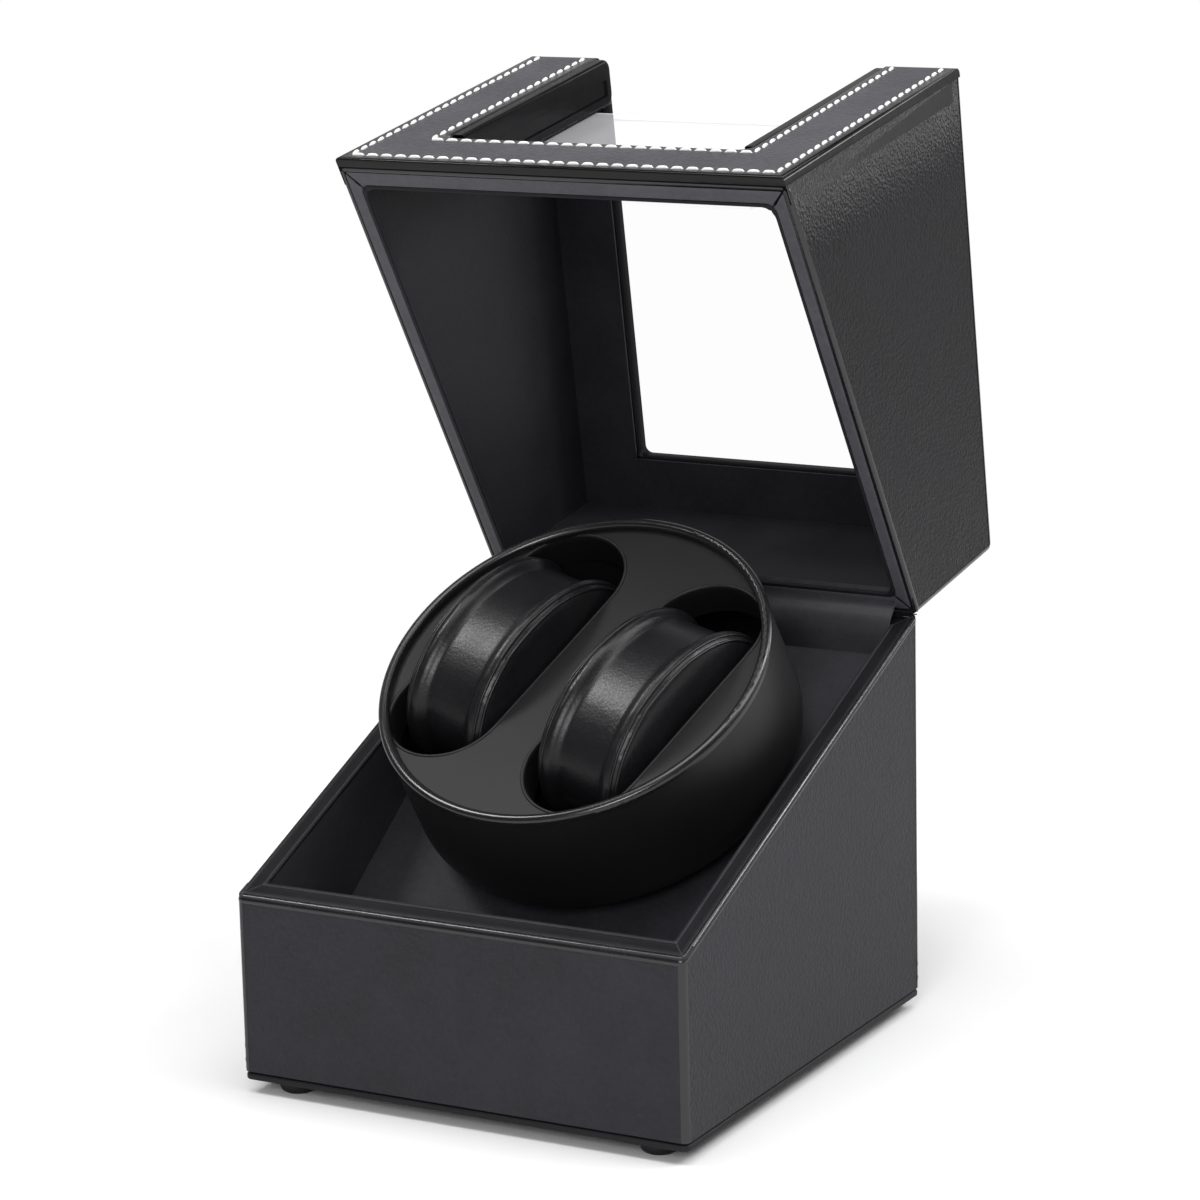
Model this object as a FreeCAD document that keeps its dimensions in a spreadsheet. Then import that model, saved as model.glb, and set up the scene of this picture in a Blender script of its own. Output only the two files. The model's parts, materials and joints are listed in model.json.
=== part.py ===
import FreeCAD, Part
import math
import os
import re

import Sketcher

Vector = FreeCAD.Vector

doc = FreeCAD.newDocument("WatchWinder")

# Driving sizes in millimetres and degrees: name, value, what it is
SIZES = [
    ("case_width", 165, "outside width of the case, left to right"),
    ("case_depth", 174, "outside depth of the case, without the hinge barrels"),
    ("front_wall", 60.4, "height of the base at the front of its sloping mouth"),
    ("back_wall", 132.6, "height of the base at the back of its sloping mouth"),
    ("lid_rise", 64.8, "height of the closed lid above the hinge axis"),
    ("open_angle", 81, "how far the lid stands open, as modelled"),
    ("mouth_gap", 0.4, "gap between the rims of base and closed lid"),
    ("side_board", 6, "thickness of the side boards"),
    ("end_board", 6.5, "thickness of the front and back boards"),
    ("lining", 1, "thickness of the inner lining"),
    ("corner_round", 2, "round on the upright outer corners"),
    ("rim_round", 1.2, "round on the outer edge of the rims"),
    ("foot_height", 4.5, "height of a rubber foot"),
    ("foot_radius", 6.5, "radius of a foot where it meets the case"),
    ("foot_taper", 0.7, "how much smaller the foot is on the table"),
    ("foot_side", 15, "foot centre to the side of the case"),
    ("foot_end", 10, "foot centre to the front or back of the case"),
    ("foot_sink", 1.8, "depth of the hollow for the foot's screw head"),
    ("floor_board", 2.3, "thickness of the bottom board"),
    ("groove_height", 0.6, "height of the shadow groove under the walls"),
    ("groove_depth", 1, "depth of the shadow groove under the walls"),
    ("deck_board", 3, "thickness of the sloping deck under the drum"),
    ("deck_fit", 0.2, "gap between the deck and the lining"),
    ("deck_lift", 6.45, "height of the deck's lowest edge above the bottom board"),
    ("rail_width", 8, "width of the rails under the deck"),
    ("rail_height", 8, "height of the rails under the deck"),
    ("rail_front_gap", 14.2, "how far the rails stop short of the deck's front end"),
    ("rail_back_gap", 6.2, "how far the rails stop short of the deck's back end"),
    ("cup_back_gap", 5.4, "gap between the drum and the lining of the back wall"),
    ("drum_lean", 34.7, "lean of the drum face towards the front"),
    ("turn_angle", 16, "turn of the drum at rest"),
    ("drum_radius", 68.1, "outside radius of the drum rim"),
    ("rim_width", 3.7, "width of the rounded rim ring"),
    ("rim_height", 3, "height of the rounded rim ring"),
    ("cup_top_inset", 0.7, "how far the cup steps in under the rim ring"),
    ("cup_wall", 2, "wall of the drum cup"),
    ("cup_depth", 53, "depth of the drum from the rim to its underside"),
    ("bottom_height", 15, "height of the cup's dished bottom, which begins where it is widest"),
    ("cup_lap", 3, "how far the cup's bottom laps inside its wall"),
    ("cup_round", 14.5, "outside round of the cup's lower edge"),
    ("deck_clearance", 2.5, "gap between the drum and the deck"),
    ("face_board", 2, "thickness of the drum's face plate"),
    ("face_fit", 0.2, "gap between the face plate and the cup wall"),
    ("slot_spacing", 61.4, "distance between the centre lines of the slots"),
    ("slot_width", 41.4, "width of a cushion slot"),
    ("slot_length", 105.2, "length of a cushion slot"),
    ("collar_wall", 1.1, "wall of the collar that hangs round a slot"),
    ("collar_depth", 10, "depth of the slot collars below the face plate"),
    ("cushion_spacing", 60.4, "distance between the centre lines of the cushions"),
    ("cushion_width", 37.6, "width of a cushion"),
    ("cushion_length", 84, "length of a cushion"),
    ("cushion_thickness", 60, "thickness of a cushion"),
    ("cheek_width", 4.8, "width of the domed cheeks of a cushion"),
    ("cheek_inset", 5, "how much smaller a cheek's end is, all round"),
    ("pad_thickness", 4.7, "thickness of the foam pad in the drum"),
    ("pad_radius", 52, "radius of the foam pad in the drum"),
    ("pad_hole", 17.5, "radius of the hole in the foam pad"),
    ("seat_gap", 0.3, "gap between a soft part and what carries it"),
    ("shaft_radius", 3, "radius of the drum shaft"),
    ("shaft_fit", 0.05, "radial clearance of the shafts in their bushes"),
    ("hub_radius", 16, "radius of the hub flange"),
    ("hub_flange", 3, "thickness of the hub flange"),
    ("hub_spigot", 7, "radius of the hub where it passes the drum floor"),
    ("hub_screw_circle", 11.5, "hub screws from the drum axis"),
    ("hub_screws", 3, "number of hub screws"),
    ("washer_radius", 8, "radius of the thrust washer"),
    ("washer_gap", 0.1, "running gap above the thrust washer"),
    ("bush_flange", 1, "thickness of the deck bush's flange"),
    ("bush_radius", 5, "outside radius of the bushes"),
    ("bush_drop", 1, "how far the deck bush reaches out below the deck"),
    ("gear_module", 0.8, "module of the gears"),
    ("drum_teeth", 48, "teeth of the drum gear"),
    ("motor_teeth", 12, "teeth of the motor pinion"),
    ("gear_backlash", 0.12, "play between the teeth at the pitch circle"),
    ("centre_ease", 0.05, "extra centre distance of the gears"),
    ("gear_width", 5.5, "face width of the drum gear"),
    ("gear_drop", 2, "drum gear below the underside of the deck"),
    ("gear_hub_radius", 7, "radius of the drum gear's hub"),
    ("pinion_over", 0.6, "how far the pinion overhangs the gear at each end"),
    ("post_height", 11.5, "height of the gearbox posts"),
    ("post_radius", 3, "radius of the gearbox posts"),
    ("plate_thickness", 2, "thickness of the gearbox plate"),
    ("plate_left", 28, "gearbox plate edge to the drum axis, left"),
    ("plate_right", 44, "gearbox plate edge to the drum axis, right"),
    ("plate_half", 28, "half the gearbox plate's length up the slope"),
    ("post_inset", 5, "gearbox posts from the plate's edges"),
    ("motor_radius", 12.2, "radius of the motor can"),
    ("motor_length", 31, "length of the motor can"),
    ("motor_boss", 3.5, "radius of the motor's front boss"),
    ("motor_shaft", 1, "radius of the motor shaft"),
    ("motor_screw_circle", 8.5, "motor screws from the motor axis"),
    ("screw_radius", 1.25, "radius of the small screws' shanks"),
    ("screw_head", 2.3, "radius of the small screws' heads"),
    ("head_height", 1.2, "height of the small screws' heads"),
    ("clip_radius", 5.5, "radius of the shaft's retaining clip"),
    ("clip_thickness", 0.8, "thickness of the shaft's retaining clip"),
    ("shaft_tail", 1.5, "drum shaft beyond its clip"),
    ("jack_inset", 54.5, "power jack to the side of the case"),
    ("socket_height", 26, "height of power jack and switch above the table"),
    ("jack_barrel", 4, "radius of the power jack's threaded barrel"),
    ("jack_flange", 5.5, "radius of the power jack's outer flange"),
    ("jack_bore", 2.75, "radius of the power jack's socket"),
    ("jack_bore_depth", 10, "depth of the power jack's socket"),
    ("jack_pin", 1.05, "radius of the power jack's centre pin"),
    ("jack_length", 14, "length of the power jack inside its flange"),
    ("nut_radius", 6.2, "radius of the jack nut over its corners"),
    ("nut_height", 2.5, "height of the jack nut"),
    ("panel_lip", 1.5, "how far jack and switch stand out behind the case"),
    ("switch_inset", 54.5, "switch to the side of the case"),
    ("switch_width", 21, "width of the switch bezel"),
    ("switch_height", 15, "height of the switch bezel"),
    ("switch_body_wall", 0.9, "wall of the switch body"),
    ("switch_lap", 0.9, "how far the bezel laps over its cut-out"),
    ("switch_depth", 14, "depth of the switch body behind its bezel"),
    ("rocker_gap", 0.35, "gap between the rocker and its bezel"),
    ("rocker_tilt", 8, "tilt of the rocker either way"),
    ("rocker_ease", 0.4, "room for the ends of the rocker to swing"),
    ("rocker_pivot", 4, "rocker pivot below the bezel's face"),
    ("rocker_rise", 1.2, "how far the rocker's raised edge stands proud"),
    ("board_width", 46, "width of the control board"),
    ("board_length", 34, "length of the control board"),
    ("board_thickness", 1.6, "thickness of the control board"),
    ("board_lift", 5, "height of the control board's posts"),
    ("board_gap", 7.5, "control board to the lining of the back wall"),
    ("hinge_inset", 37.5, "hinge centre to the side of the case"),
    ("hinge_length", 36, "length of a hinge"),
    ("hinge_barrel", 2, "radius of a hinge barrel"),
    ("hinge_pin", 1, "radius of a hinge pin"),
    ("hinge_play", 0.2, "play between the hinge knuckles"),
    ("hinge_clearance", 0.4, "clearance round the hinge barrel"),
    ("leaf_reach", 6.2, "reach of a hinge leaf from the hinge axis"),
    ("leaf_thickness", 0.8, "thickness of a hinge leaf"),
    ("hinge_screw", 0.8, "radius of the hinge screws"),
    ("hinge_screw_length", 4.2, "length of the hinge screws"),
    ("strip_thickness", 0.8, "thickness of the leather strip over the hinges"),
    ("strip_drop", 8, "reach of the strip down the base's back wall"),
    ("strip_climb", 4, "reach of the strip along the lid's back wall"),
    ("frame_board", 3.5, "thickness of the stitched front frame"),
    ("front_board", 7, "thickness of the lid's front board"),
    ("top_board", 7, "thickness of the lid's top board"),
    ("front_bar", 29.3, "height of the bar below the window"),
    ("frame_arm", 26.5, "width of the front frame's arms"),
    ("frame_round", 3, "round on the top edge of the front frame"),
    ("notch_round", 4, "round in the lower corners of the window"),
    ("window_lip", 3, "how far the boards show inside the front frame's arms"),
    ("window_back", 26, "bar between the window and the back of the lid"),
    ("top_round", 3, "round on the lid's outer top edges"),
    ("sash_depth", 6.8, "how far the frame round the window stands in behind its board"),
    ("sash_rim", 2, "rim of that frame round the pane"),
    ("pane_thickness", 2, "thickness of the clear pane"),
    ("pane_lap", 4, "how far the pane laps behind the boards"),
    ("pane_fit", 0.2, "gap round the edges of the pane"),
    ("pane_bend", 6, "inside radius of the pane's bend"),
]

# Sizes that follow from the driving ones, each written once and used by name
DERIVED = {
    "half_width": "case_width / 2",
    "half_depth": "case_depth / 2",
    "wall_foot": "foot_height + floor_board + groove_height",
    "hinge_up": "wall_foot + back_wall",
    "slope": "(back_wall - front_wall) / case_depth",
    "slope_length": "sqrt(1 + slope ^ 2)",
    "inner_side": "half_width - side_board",
    "inner_end": "half_depth - end_board",
    "lined_side": "inner_side - lining",
    "lined_end": "inner_end - lining",
    "deck_top": "cup_depth + deck_clearance",
    "deck_under": "deck_top + deck_board",
    "cup_reach": ("(cup_depth - cup_round) * sin(drum_lean)"
                  " + (drum_radius - cup_round) * cos(drum_lean) + cup_round"),
    "rim_forward": "cup_reach - lined_end + cup_back_gap",
    "rail_under": "deck_under + rail_height",
    "deck_front": "rim_forward - lined_end + deck_fit",
    "deck_back": "rim_forward + lined_end - deck_fit",
    "deck_foot": "(deck_front - deck_under * sin(drum_lean)) / cos(drum_lean)",
    "rim_up": "wall_foot + deck_lift + deck_under * cos(drum_lean) - deck_foot * sin(drum_lean)",
    "cup_swell": "cup_depth - bottom_height",
    "cup_floor": "cup_depth - cup_wall",
    "cup_inside": "drum_radius - cup_top_inset - cup_wall",
    "face_under": "rim_height + face_board",
    "collar_under": "face_under + collar_depth",
    "lap_radius": "cup_inside + cup_wall / 2",
    "lap_top": "cup_swell - cup_lap",
    "pad_top": "cup_floor - pad_thickness",
    "cushion_low": "pad_top - seat_gap - cushion_thickness / 2",
    "washer_under": "deck_top - bush_flange",
    "washer_top": "cup_depth + washer_gap",
    "bush_bore": "shaft_radius + shaft_fit",
    "gear_top": "deck_under + gear_drop",
    "gear_under": "gear_top + gear_width",
    "gear_centres": "gear_module * (drum_teeth + motor_teeth) / 2 + centre_ease",
    "plate_top": "deck_under + post_height",
    "plate_under": "plate_top + plate_thickness",
    "plate_bush_top": "plate_top - bush_drop",
    "plate_bush_under": "plate_under + bush_drop",
    "clip_top": "plate_bush_under + hinge_play",
    "shaft_under": "clip_top + clip_thickness + shaft_tail",
    "hub_top": "cup_floor - hub_flange",
    "board_front": "frame_board - case_depth",
    "board_inner": "board_front + front_board",
    "front_lined": "board_inner + lining",
    "lid_under": "lid_rise - top_board",
    "lid_lined": "lid_under - lining",
    "bar_top": "front_bar - back_wall + front_wall",
    "frame_inner": "half_width - frame_arm",
    "window_half": "frame_inner - window_lip",
    "pane_half": "window_half + pane_lap",
    "pane_seat": "board_inner + sash_depth",
    "sash_inner": "pane_seat + pane_thickness",
    "sash_half": "pane_half + sash_rim",
    "sash_low": "bar_top - pane_lap - sash_rim",
    "pane_top": "lid_under + pane_thickness",
    "bend_side": "pane_half + pane_fit",
    "bend_back": "sash_inner + pane_bend + pane_fit",
    "hinge_side": "half_width - hinge_inset",
    "jack_side": "half_width - jack_inset",
    "switch_side": "half_width - switch_inset",
    "board_back": "lined_end - board_gap",
    "leaf_mortise": "leaf_thickness + mouth_gap / 2",
    "board_under": "wall_foot + board_lift",
    "switch_hole_width": "switch_width - 2 * switch_lap",
    "switch_hole_height": "switch_height - 2 * switch_lap",
    "bezel_face": "half_depth + panel_lip",
    "rocker_half": "switch_hole_height / 2 - switch_body_wall - rocker_gap - rocker_ease",
}

sheet = doc.addObject("Spreadsheet::Sheet", "Sizes")
for row, (name, value, note) in enumerate(SIZES, start=1):
    sheet.set(f"A{row}", note)
    sheet.set(f"B{row}", str(value))
    sheet.setAlias(f"B{row}", name)
doc.recompute()
CELLS = {name for name, value, note in SIZES}


def size(name):
    """The number that a cell of the sheet holds."""
    return float(sheet.get(name))


def bound(text):
    """Turns a formula in plain names into an expression on the sheet's cells."""
    def swap(match):
        word = match.group(0)
        if word in DERIVED:
            return f"({bound(DERIVED[word])})"
        return f"Sizes.{word}" if word in CELLS else word
    return re.sub(r"[a-z_]+", swap, str(text))


def move(x=0, y=0, z=0, axis="0; 0; 1", angle=0):
    """A placement as an expression: a place, and a turn about an axis."""
    return (f"placement(vector({bound(x)}; {bound(y)}; {bound(z)}); "
            f"rotation(vector({axis}); {bound(angle)}))")


# Frames that the parts are drawn in, each as a chain of placements
CASE = ()
LID = (move(0, "half_depth", "hinge_up", "1; 0; 0", "-open_angle"),)
DECK = (move(0, "-rim_forward", "rim_up", "1; 0; 0", "drum_lean"),)
DRUM = DECK + (move(0, 0, 0, "0; 0; 1", "-turn_angle"),)
MOTOR = DECK + (move("gear_centres", 0, 0),)
BASE_RIM = (move(0, "half_depth", "hinge_up", "1; 0; 0", "atan(slope)"),)
LID_RIM = LID + (move(0, 0, 0, "1; 0; 0", "atan(slope)"),)
BACK_FACE = move(0, 0, 0, "1; 0; 0", -90)

parts = []


def put(item, *chain):
    """Places an object by a chain of placements."""
    if chain:
        item.setExpression("Placement", " * ".join(chain))
    return item


def keep(item, label):
    """Marks a finished sub-part, whose label names its file."""
    item.Label = label
    parts.append(item)
    return item


def sketch_on(body, plane, loops, offset=0):
    """A sketch on an origin plane: each loop is a circle or a list of corners."""
    sketch = body.newObject("Sketcher::SketchObject", "Sketch")
    support = [item for item in body.Origin.OriginFeatures if item.Role == plane][0]
    sketch.AttachmentSupport = [(support, "")]
    sketch.MapMode = "FlatFace"
    sketch.setExpression("AttachmentOffset", move(0, 0, offset))
    for loop in loops:
        first = sketch.GeometryCount
        rules = []
        if loop[0] == "circle":
            sketch.addGeometry(Part.Circle(Vector(1, 1, 0), Vector(0, 0, 1), 1))
            rules.append(("DistanceX", (-1, 1, first, 3), loop[1]))
            rules.append(("DistanceY", (-1, 1, first, 3), loop[2]))
            rules.append(("Radius", (first,), loop[3]))
        else:
            count = len(loop)
            turns = [2 * math.pi * i / count for i in range(count)]
            ends = [Vector(math.cos(turn), math.sin(turn), 0) for turn in turns]
            lines = [Part.LineSegment(ends[i - 1], ends[i]) for i in range(count)]
            sketch.addGeometry(lines)
            sketch.addConstraint([
                Sketcher.Constraint("Coincident", first + i, 2, first + (i + 1) % count, 1)
                for i in range(count)])
            for i, (across, along) in enumerate(loop):
                rules.append(("DistanceX", (-1, 1, first + i, 2), across))
                rules.append(("DistanceY", (-1, 1, first + i, 2), along))
        for kind, where, formula in rules:
            index = sketch.addConstraint(Sketcher.Constraint(kind, *where, 1.0))
            sketch.setExpression(f"Constraints[{index}]", bound(formula))
    return sketch


def new_body(name):
    body = doc.addObject("PartDesign::Body", name)
    body.Label = name
    return body


def pad(name, plane, loops, length, offset=0, both_ways=False, reverse=False):
    """A body with one padded sketch."""
    body = new_body(name)
    feature = body.newObject("PartDesign::Pad", "Pad")
    feature.Profile = sketch_on(body, plane, loops, offset)
    feature.setExpression("Length", bound(length))
    feature.SideType = "Symmetric" if both_ways else "One side"
    feature.Reversed = reverse
    doc.recompute()
    return body


def pocket(body, plane, loops, length=None, offset=0, reverse=False):
    """Cuts a sketch out of a body, right through both ways without a length."""
    before = body.Shape.Volume
    feature = body.newObject("PartDesign::Pocket", "Pocket")
    feature.Profile = sketch_on(body, plane, loops, offset)
    if length is None:
        feature.SideType = "Symmetric"
        feature.setExpression("Length", bound("4 * case_depth"))
    else:
        feature.setExpression("Length", bound(length))
        feature.Reversed = reverse
    doc.recompute()
    if not body.Shape.Volume < before - 0.01:
        raise RuntimeError(f"a pocket in {body.Label} cuts nothing")
    return body


def turned(name, loops):
    """A body turned about its Z axis from outlines of radius and height."""
    body = new_body(name)
    sketch = sketch_on(body, "XZ_Plane", loops)
    feature = body.newObject("PartDesign::Revolution", "Revolution")
    feature.Profile = sketch
    feature.ReferenceAxis = (sketch, ["V_Axis"])
    feature.Angle = 360
    doc.recompute()
    return body


def round_edges(body, radius, wanted):
    """Fillets the edges of a body whose middle point passes the test."""
    tip = body.Tip
    names = []
    for number, edge in enumerate(tip.Shape.Edges, start=1):
        span = edge.LastParameter - edge.FirstParameter
        middle = edge.valueAt(edge.FirstParameter + span / 2)
        if wanted(middle, edge):
            names.append(f"Edge{number}")
    if not names:
        raise RuntimeError(f"no edge to round in {body.Label}")
    feature = body.newObject("PartDesign::Fillet", "Fillet")
    feature.Base = (tip, names)
    feature.setExpression("Radius", bound(radius))
    doc.recompute()
    return body


def box(width, depth, height, *chain):
    """A box with its corner at the chain's place."""
    item = doc.addObject("Part::Box", "Box")
    item.setExpression("Length", bound(width))
    item.setExpression("Width", bound(depth))
    item.setExpression("Height", bound(height))
    return put(item, *chain)


def rod(radius, height, *chain):
    """A round bar that starts at the chain's place and runs along its Z."""
    item = doc.addObject("Part::Cylinder", "Rod")
    item.setExpression("Radius", bound(radius))
    item.setExpression("Height", bound(height))
    return put(item, *chain)


def fuse(*items):
    item = doc.addObject("Part::MultiFuse", "Fuse")
    item.Shapes = list(items)
    return item


def cut(base, tool):
    item = doc.addObject("Part::Cut", "Cut")
    item.Base = base
    item.Tool = tool
    return item


def group(*items):
    """Identical fasteners and the like, kept as separate solids in one part."""
    item = doc.addObject("Part::Compound", "Group")
    item.Links = list(items)
    return item


def rectangle(left, right, low, high):
    return [(left, low), (right, low), (right, high), (left, high)]


def near(one, other):
    return abs(one - other) < 0.01


def upright(edge):
    """True for a straight edge that runs along Z."""
    start, end = edge.Vertexes[0].Point, edge.Vertexes[-1].Point
    return near(start.x, end.x) and near(start.y, end.y) and not near(start.z, end.z)


def screw(length, *chain):
    """A small cap screw: its head stands on the chain's place, its shank goes down."""
    item = turned("Screw", [[
        (0, f"-({length})"), ("screw_radius", f"-({length})"), ("screw_radius", 0),
        ("screw_head", 0), ("screw_head", "head_height"), (0, "head_height")]])
    return put(item, *chain)


# Case: the bottom board, with a shadow groove under the walls
bottom = pad("BottomBoard", "XY_Plane",
             [rectangle("-half_width", "half_width", "-half_depth", "half_depth")],
             "floor_board", "foot_height")
round_edges(bottom, "corner_round", lambda middle, edge: upright(edge))
step = bottom.newObject("PartDesign::Pad", "Pad")
step.Profile = sketch_on(bottom, "XY_Plane", [rectangle(
    "groove_depth - half_width", "half_width - groove_depth",
    "groove_depth - half_depth", "half_depth - groove_depth")], "foot_height + floor_board")
step.setExpression("Length", bound("groove_height"))
doc.recompute()
keep(bottom, "bottom_board")

# Feet: tapered rubber, each held by a screw in a hollow under it
foot_places = {
    "front_left": ("foot_side - half_width", "foot_end - half_depth"),
    "front_right": ("half_width - foot_side", "foot_end - half_depth"),
    "back_left": ("foot_side - half_width", "half_depth - foot_end"),
    "back_right": ("half_width - foot_side", "half_depth - foot_end"),
}
foot_screws = []
for place, (x, y) in foot_places.items():
    foot = turned("Foot", [[
        ("screw_radius", "foot_sink"), ("screw_head + shaft_fit", "foot_sink"),
        ("screw_head + shaft_fit", 0), ("foot_radius - foot_taper", 0),
        ("foot_radius", "foot_height"), ("screw_radius", "foot_height")]])
    keep(put(foot, move(x, y, 0)), f"foot_{place}")
    foot_screws.append(screw("foot_height - foot_sink + floor_board - screw_radius",
                             move(x, y, "foot_sink", "1; 0; 0", 180)))
for x, y in foot_places.values():
    pocket(bottom, "XY_Plane", [("circle", x, y, "screw_radius")],
           "floor_board - screw_radius", "foot_height", reverse=True)
keep(group(*foot_screws), "foot_screws")


def base_mouth(body, reach):
    """Cuts a wall of the base along the sloping mouth."""
    low = "wall_foot + front_wall - mouth_gap / 2"
    high = "wall_foot + back_wall - mouth_gap / 2"
    pocket(body, "YZ_Plane", [[
        (f"-half_depth - {reach}", f"{low} - slope * {reach}"),
        (f"half_depth + {reach}", f"{high} + slope * {reach}"),
        (f"half_depth + {reach}", f"{high} + case_depth"),
        (f"-half_depth - {reach}", f"{high} + case_depth")]])
    return body


def mouth_edge(middle, reach_side, reach_end):
    """True for an outer edge of the base's mouth."""
    slope = (size("back_wall") - size("front_wall")) / size("case_depth")
    foot = size("foot_height") + size("floor_board") + size("groove_height")
    rim = (foot + size("front_wall") - size("mouth_gap") / 2
           + slope * (middle.y + size("case_depth") / 2))
    outside = (near(abs(middle.x), reach_side) or near(abs(middle.y), reach_end))
    return near(middle.z, rim) and outside


half_width = size("case_width") / 2
half_depth = size("case_depth") / 2

for label, side in (("base_left", -1), ("base_right", 1)):
    wall = pad("SideWall", "XY_Plane", [rectangle(
        f"{side} * half_width", f"{side} * inner_side", "-inner_end", "inner_end")],
        "back_wall", "wall_foot")
    base_mouth(wall, "mouth_gap")
    round_edges(wall, "rim_round",
                lambda middle, edge: mouth_edge(middle, half_width, half_depth))
    keep(wall, label)

walls = {}
for label, side in (("base_front", -1), ("base_back", 1)):
    wall = pad("EndWall", "XY_Plane", [rectangle(
        "-half_width", "half_width", f"{side} * half_depth", f"{side} * inner_end")],
        "back_wall", "wall_foot")
    base_mouth(wall, "mouth_gap")
    round_edges(wall, "corner_round", lambda middle, edge: upright(edge)
                and near(abs(middle.y), half_depth))
    walls[label] = wall
keep(walls["base_front"], "base_front")

# Lining inside the walls, and the holes for the power jack and the switch
base_back = walls["base_back"]
lining = pad("Lining", "XY_Plane", [
    rectangle("-inner_side", "inner_side", "-inner_end", "inner_end"),
    rectangle("-lined_side", "lined_side", "-lined_end", "lined_end")],
    "back_wall", "wall_foot")
base_mouth(lining, "mouth_gap")
keep(lining, "base_lining")
for body in (base_back, lining):
    pocket(body, "XZ_Plane", [
        ("circle", "-jack_side", "socket_height", "jack_barrel + shaft_fit"),
        rectangle("switch_side - switch_hole_width / 2", "switch_side + switch_hole_width / 2",
                  "socket_height - switch_hole_height / 2",
                  "socket_height + switch_hole_height / 2")],
        "half_depth")


# Hinges: two leaves on one axis, let into the rims of the back boards
knuckle = "(hinge_length - 2 * hinge_play) / 3"
along_x = "0; 1; 0"


def rim_point(reach, lift, y="half_depth", z="hinge_up"):
    """A point in side view: reach down the mouth's slope from the hinge, and lift off it."""
    return (f"{y} - ({reach}) / slope_length - ({lift}) * slope / slope_length",
            f"{z} - ({reach}) * slope / slope_length + ({lift}) / slope_length")


def mortise(body, lift, y, z):
    """Cuts the room for both hinges into a back board; lift is 1 above the mouth, -1 below."""
    for side in (-1, 1):
        start = f"{side} * hinge_side - hinge_length / 2 - hinge_play"
        length = "hinge_length + 2 * hinge_play"
        pocket(body, "YZ_Plane", [("circle", y, z, "hinge_barrel + hinge_clearance")],
               length, start, reverse=True)
        pocket(body, "YZ_Plane", [[
            rim_point(0, f"{-lift} * leaf_mortise", y, z),
            rim_point("leaf_reach + hinge_play", f"{-lift} * leaf_mortise", y, z),
            rim_point("leaf_reach + hinge_play", f"{lift} * leaf_mortise", y, z),
            rim_point(0, f"{lift} * leaf_mortise", y, z)]], length, start, reverse=True)


def hinge_screw_places():
    """The screws stand in a row along the middle of each leaf's flat part."""
    row = "-(hinge_barrel + hinge_clearance + leaf_reach) / 2"
    return [(f"{side} * hinge_side + {step} * {knuckle}", row)
            for side in (-1, 1) for step in (-1, 0, 1)]


def hinge_leaf(side, lift, knuckles, *frame):
    """A leaf with its knuckles; lift is 1 for the lid's leaf, -1 for the base's."""
    inner = "hinge_barrel + hinge_clearance"
    middle = f"{side} * hinge_side"
    low = "mouth_gap / 2" if lift > 0 else "-leaf_mortise"
    pieces = [box("hinge_length", f"leaf_reach - ({inner})", "leaf_thickness",
                  move(f"{middle} - hinge_length / 2", "-leaf_reach", low))]
    for step in knuckles:
        start = f"{middle} + {step} * ({knuckle} + hinge_play) - {knuckle} / 2"
        pieces.append(rod("hinge_barrel", knuckle, move(start, 0, 0, along_x, 90)))
        pieces.append(box(knuckle, f"{inner} + hinge_play", "leaf_thickness",
                          move(start, f"-({inner}) - hinge_play", low)))
    holes = [rod("hinge_pin + shaft_fit", "2 * hinge_length",
                 move(f"{middle} - hinge_length", 0, 0, along_x, 90))]
    for x, y in hinge_screw_places():
        holes.append(countersink(x, y, lift, "shaft_fit"))
    return put(cut(fuse(*pieces), fuse(*holes)), *frame)


def countersink(x, y, lift, ease, length="2 * leaf_thickness"):
    """A countersunk screw, or with ease the hole for one, flush with its leaf."""
    turn = 0 if lift < 0 else 180
    item = turned("HingeScrew", [[
        (0, 0), (f"2 * hinge_screw + {ease}", 0),
        (f"hinge_screw + {ease}", "-hinge_screw"), (f"hinge_screw + {ease}", f"-({length})"),
        (0, f"-({length})")]])
    return put(item, move(x, y, f"{lift} * mouth_gap / 2", "1; 0; 0", turn))


def screw_holes(board, lift, *frame):
    """Pilot holes for the hinge screws in a back board."""
    return cut(board, put(group(*[countersink(x, y, lift, 0, "hinge_screw_length")
                                  for x, y in hinge_screw_places()]), *frame))


mortise(base_back, -1, "half_depth", "hinge_up")
keep(screw_holes(base_back, -1, *BASE_RIM), "base_back")
for name, side in (("left", -1), ("right", 1)):
    keep(hinge_leaf(side, -1, (-1, 1), *BASE_RIM), f"hinge_{name}_base_leaf")
    keep(hinge_leaf(side, 1, (0,), *LID_RIM), f"hinge_{name}_lid_leaf")
keep(put(group(*[rod("hinge_pin", "hinge_length", move(
    f"{side} * hinge_side - hinge_length / 2", 0, 0, along_x, 90)) for side in (-1, 1)]),
    *BASE_RIM), "hinge_pins")
for label, lift, frame in (("hinge_screws_base", -1, BASE_RIM), ("hinge_screws_lid", 1, LID_RIM)):
    keep(put(group(*[countersink(x, y, lift, 0, "hinge_screw_length")
                     for x, y in hinge_screw_places()]), *frame), label)


# Deck: a flat board that slopes like the drum's face, on two rails
def deck_end(side, depth):
    """Where the deck's upright end meets a depth below the rim plane."""
    reach = "deck_back" if side > 0 else "deck_front"
    return f"({reach} - ({depth}) * sin(drum_lean)) / cos(drum_lean)"


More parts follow.
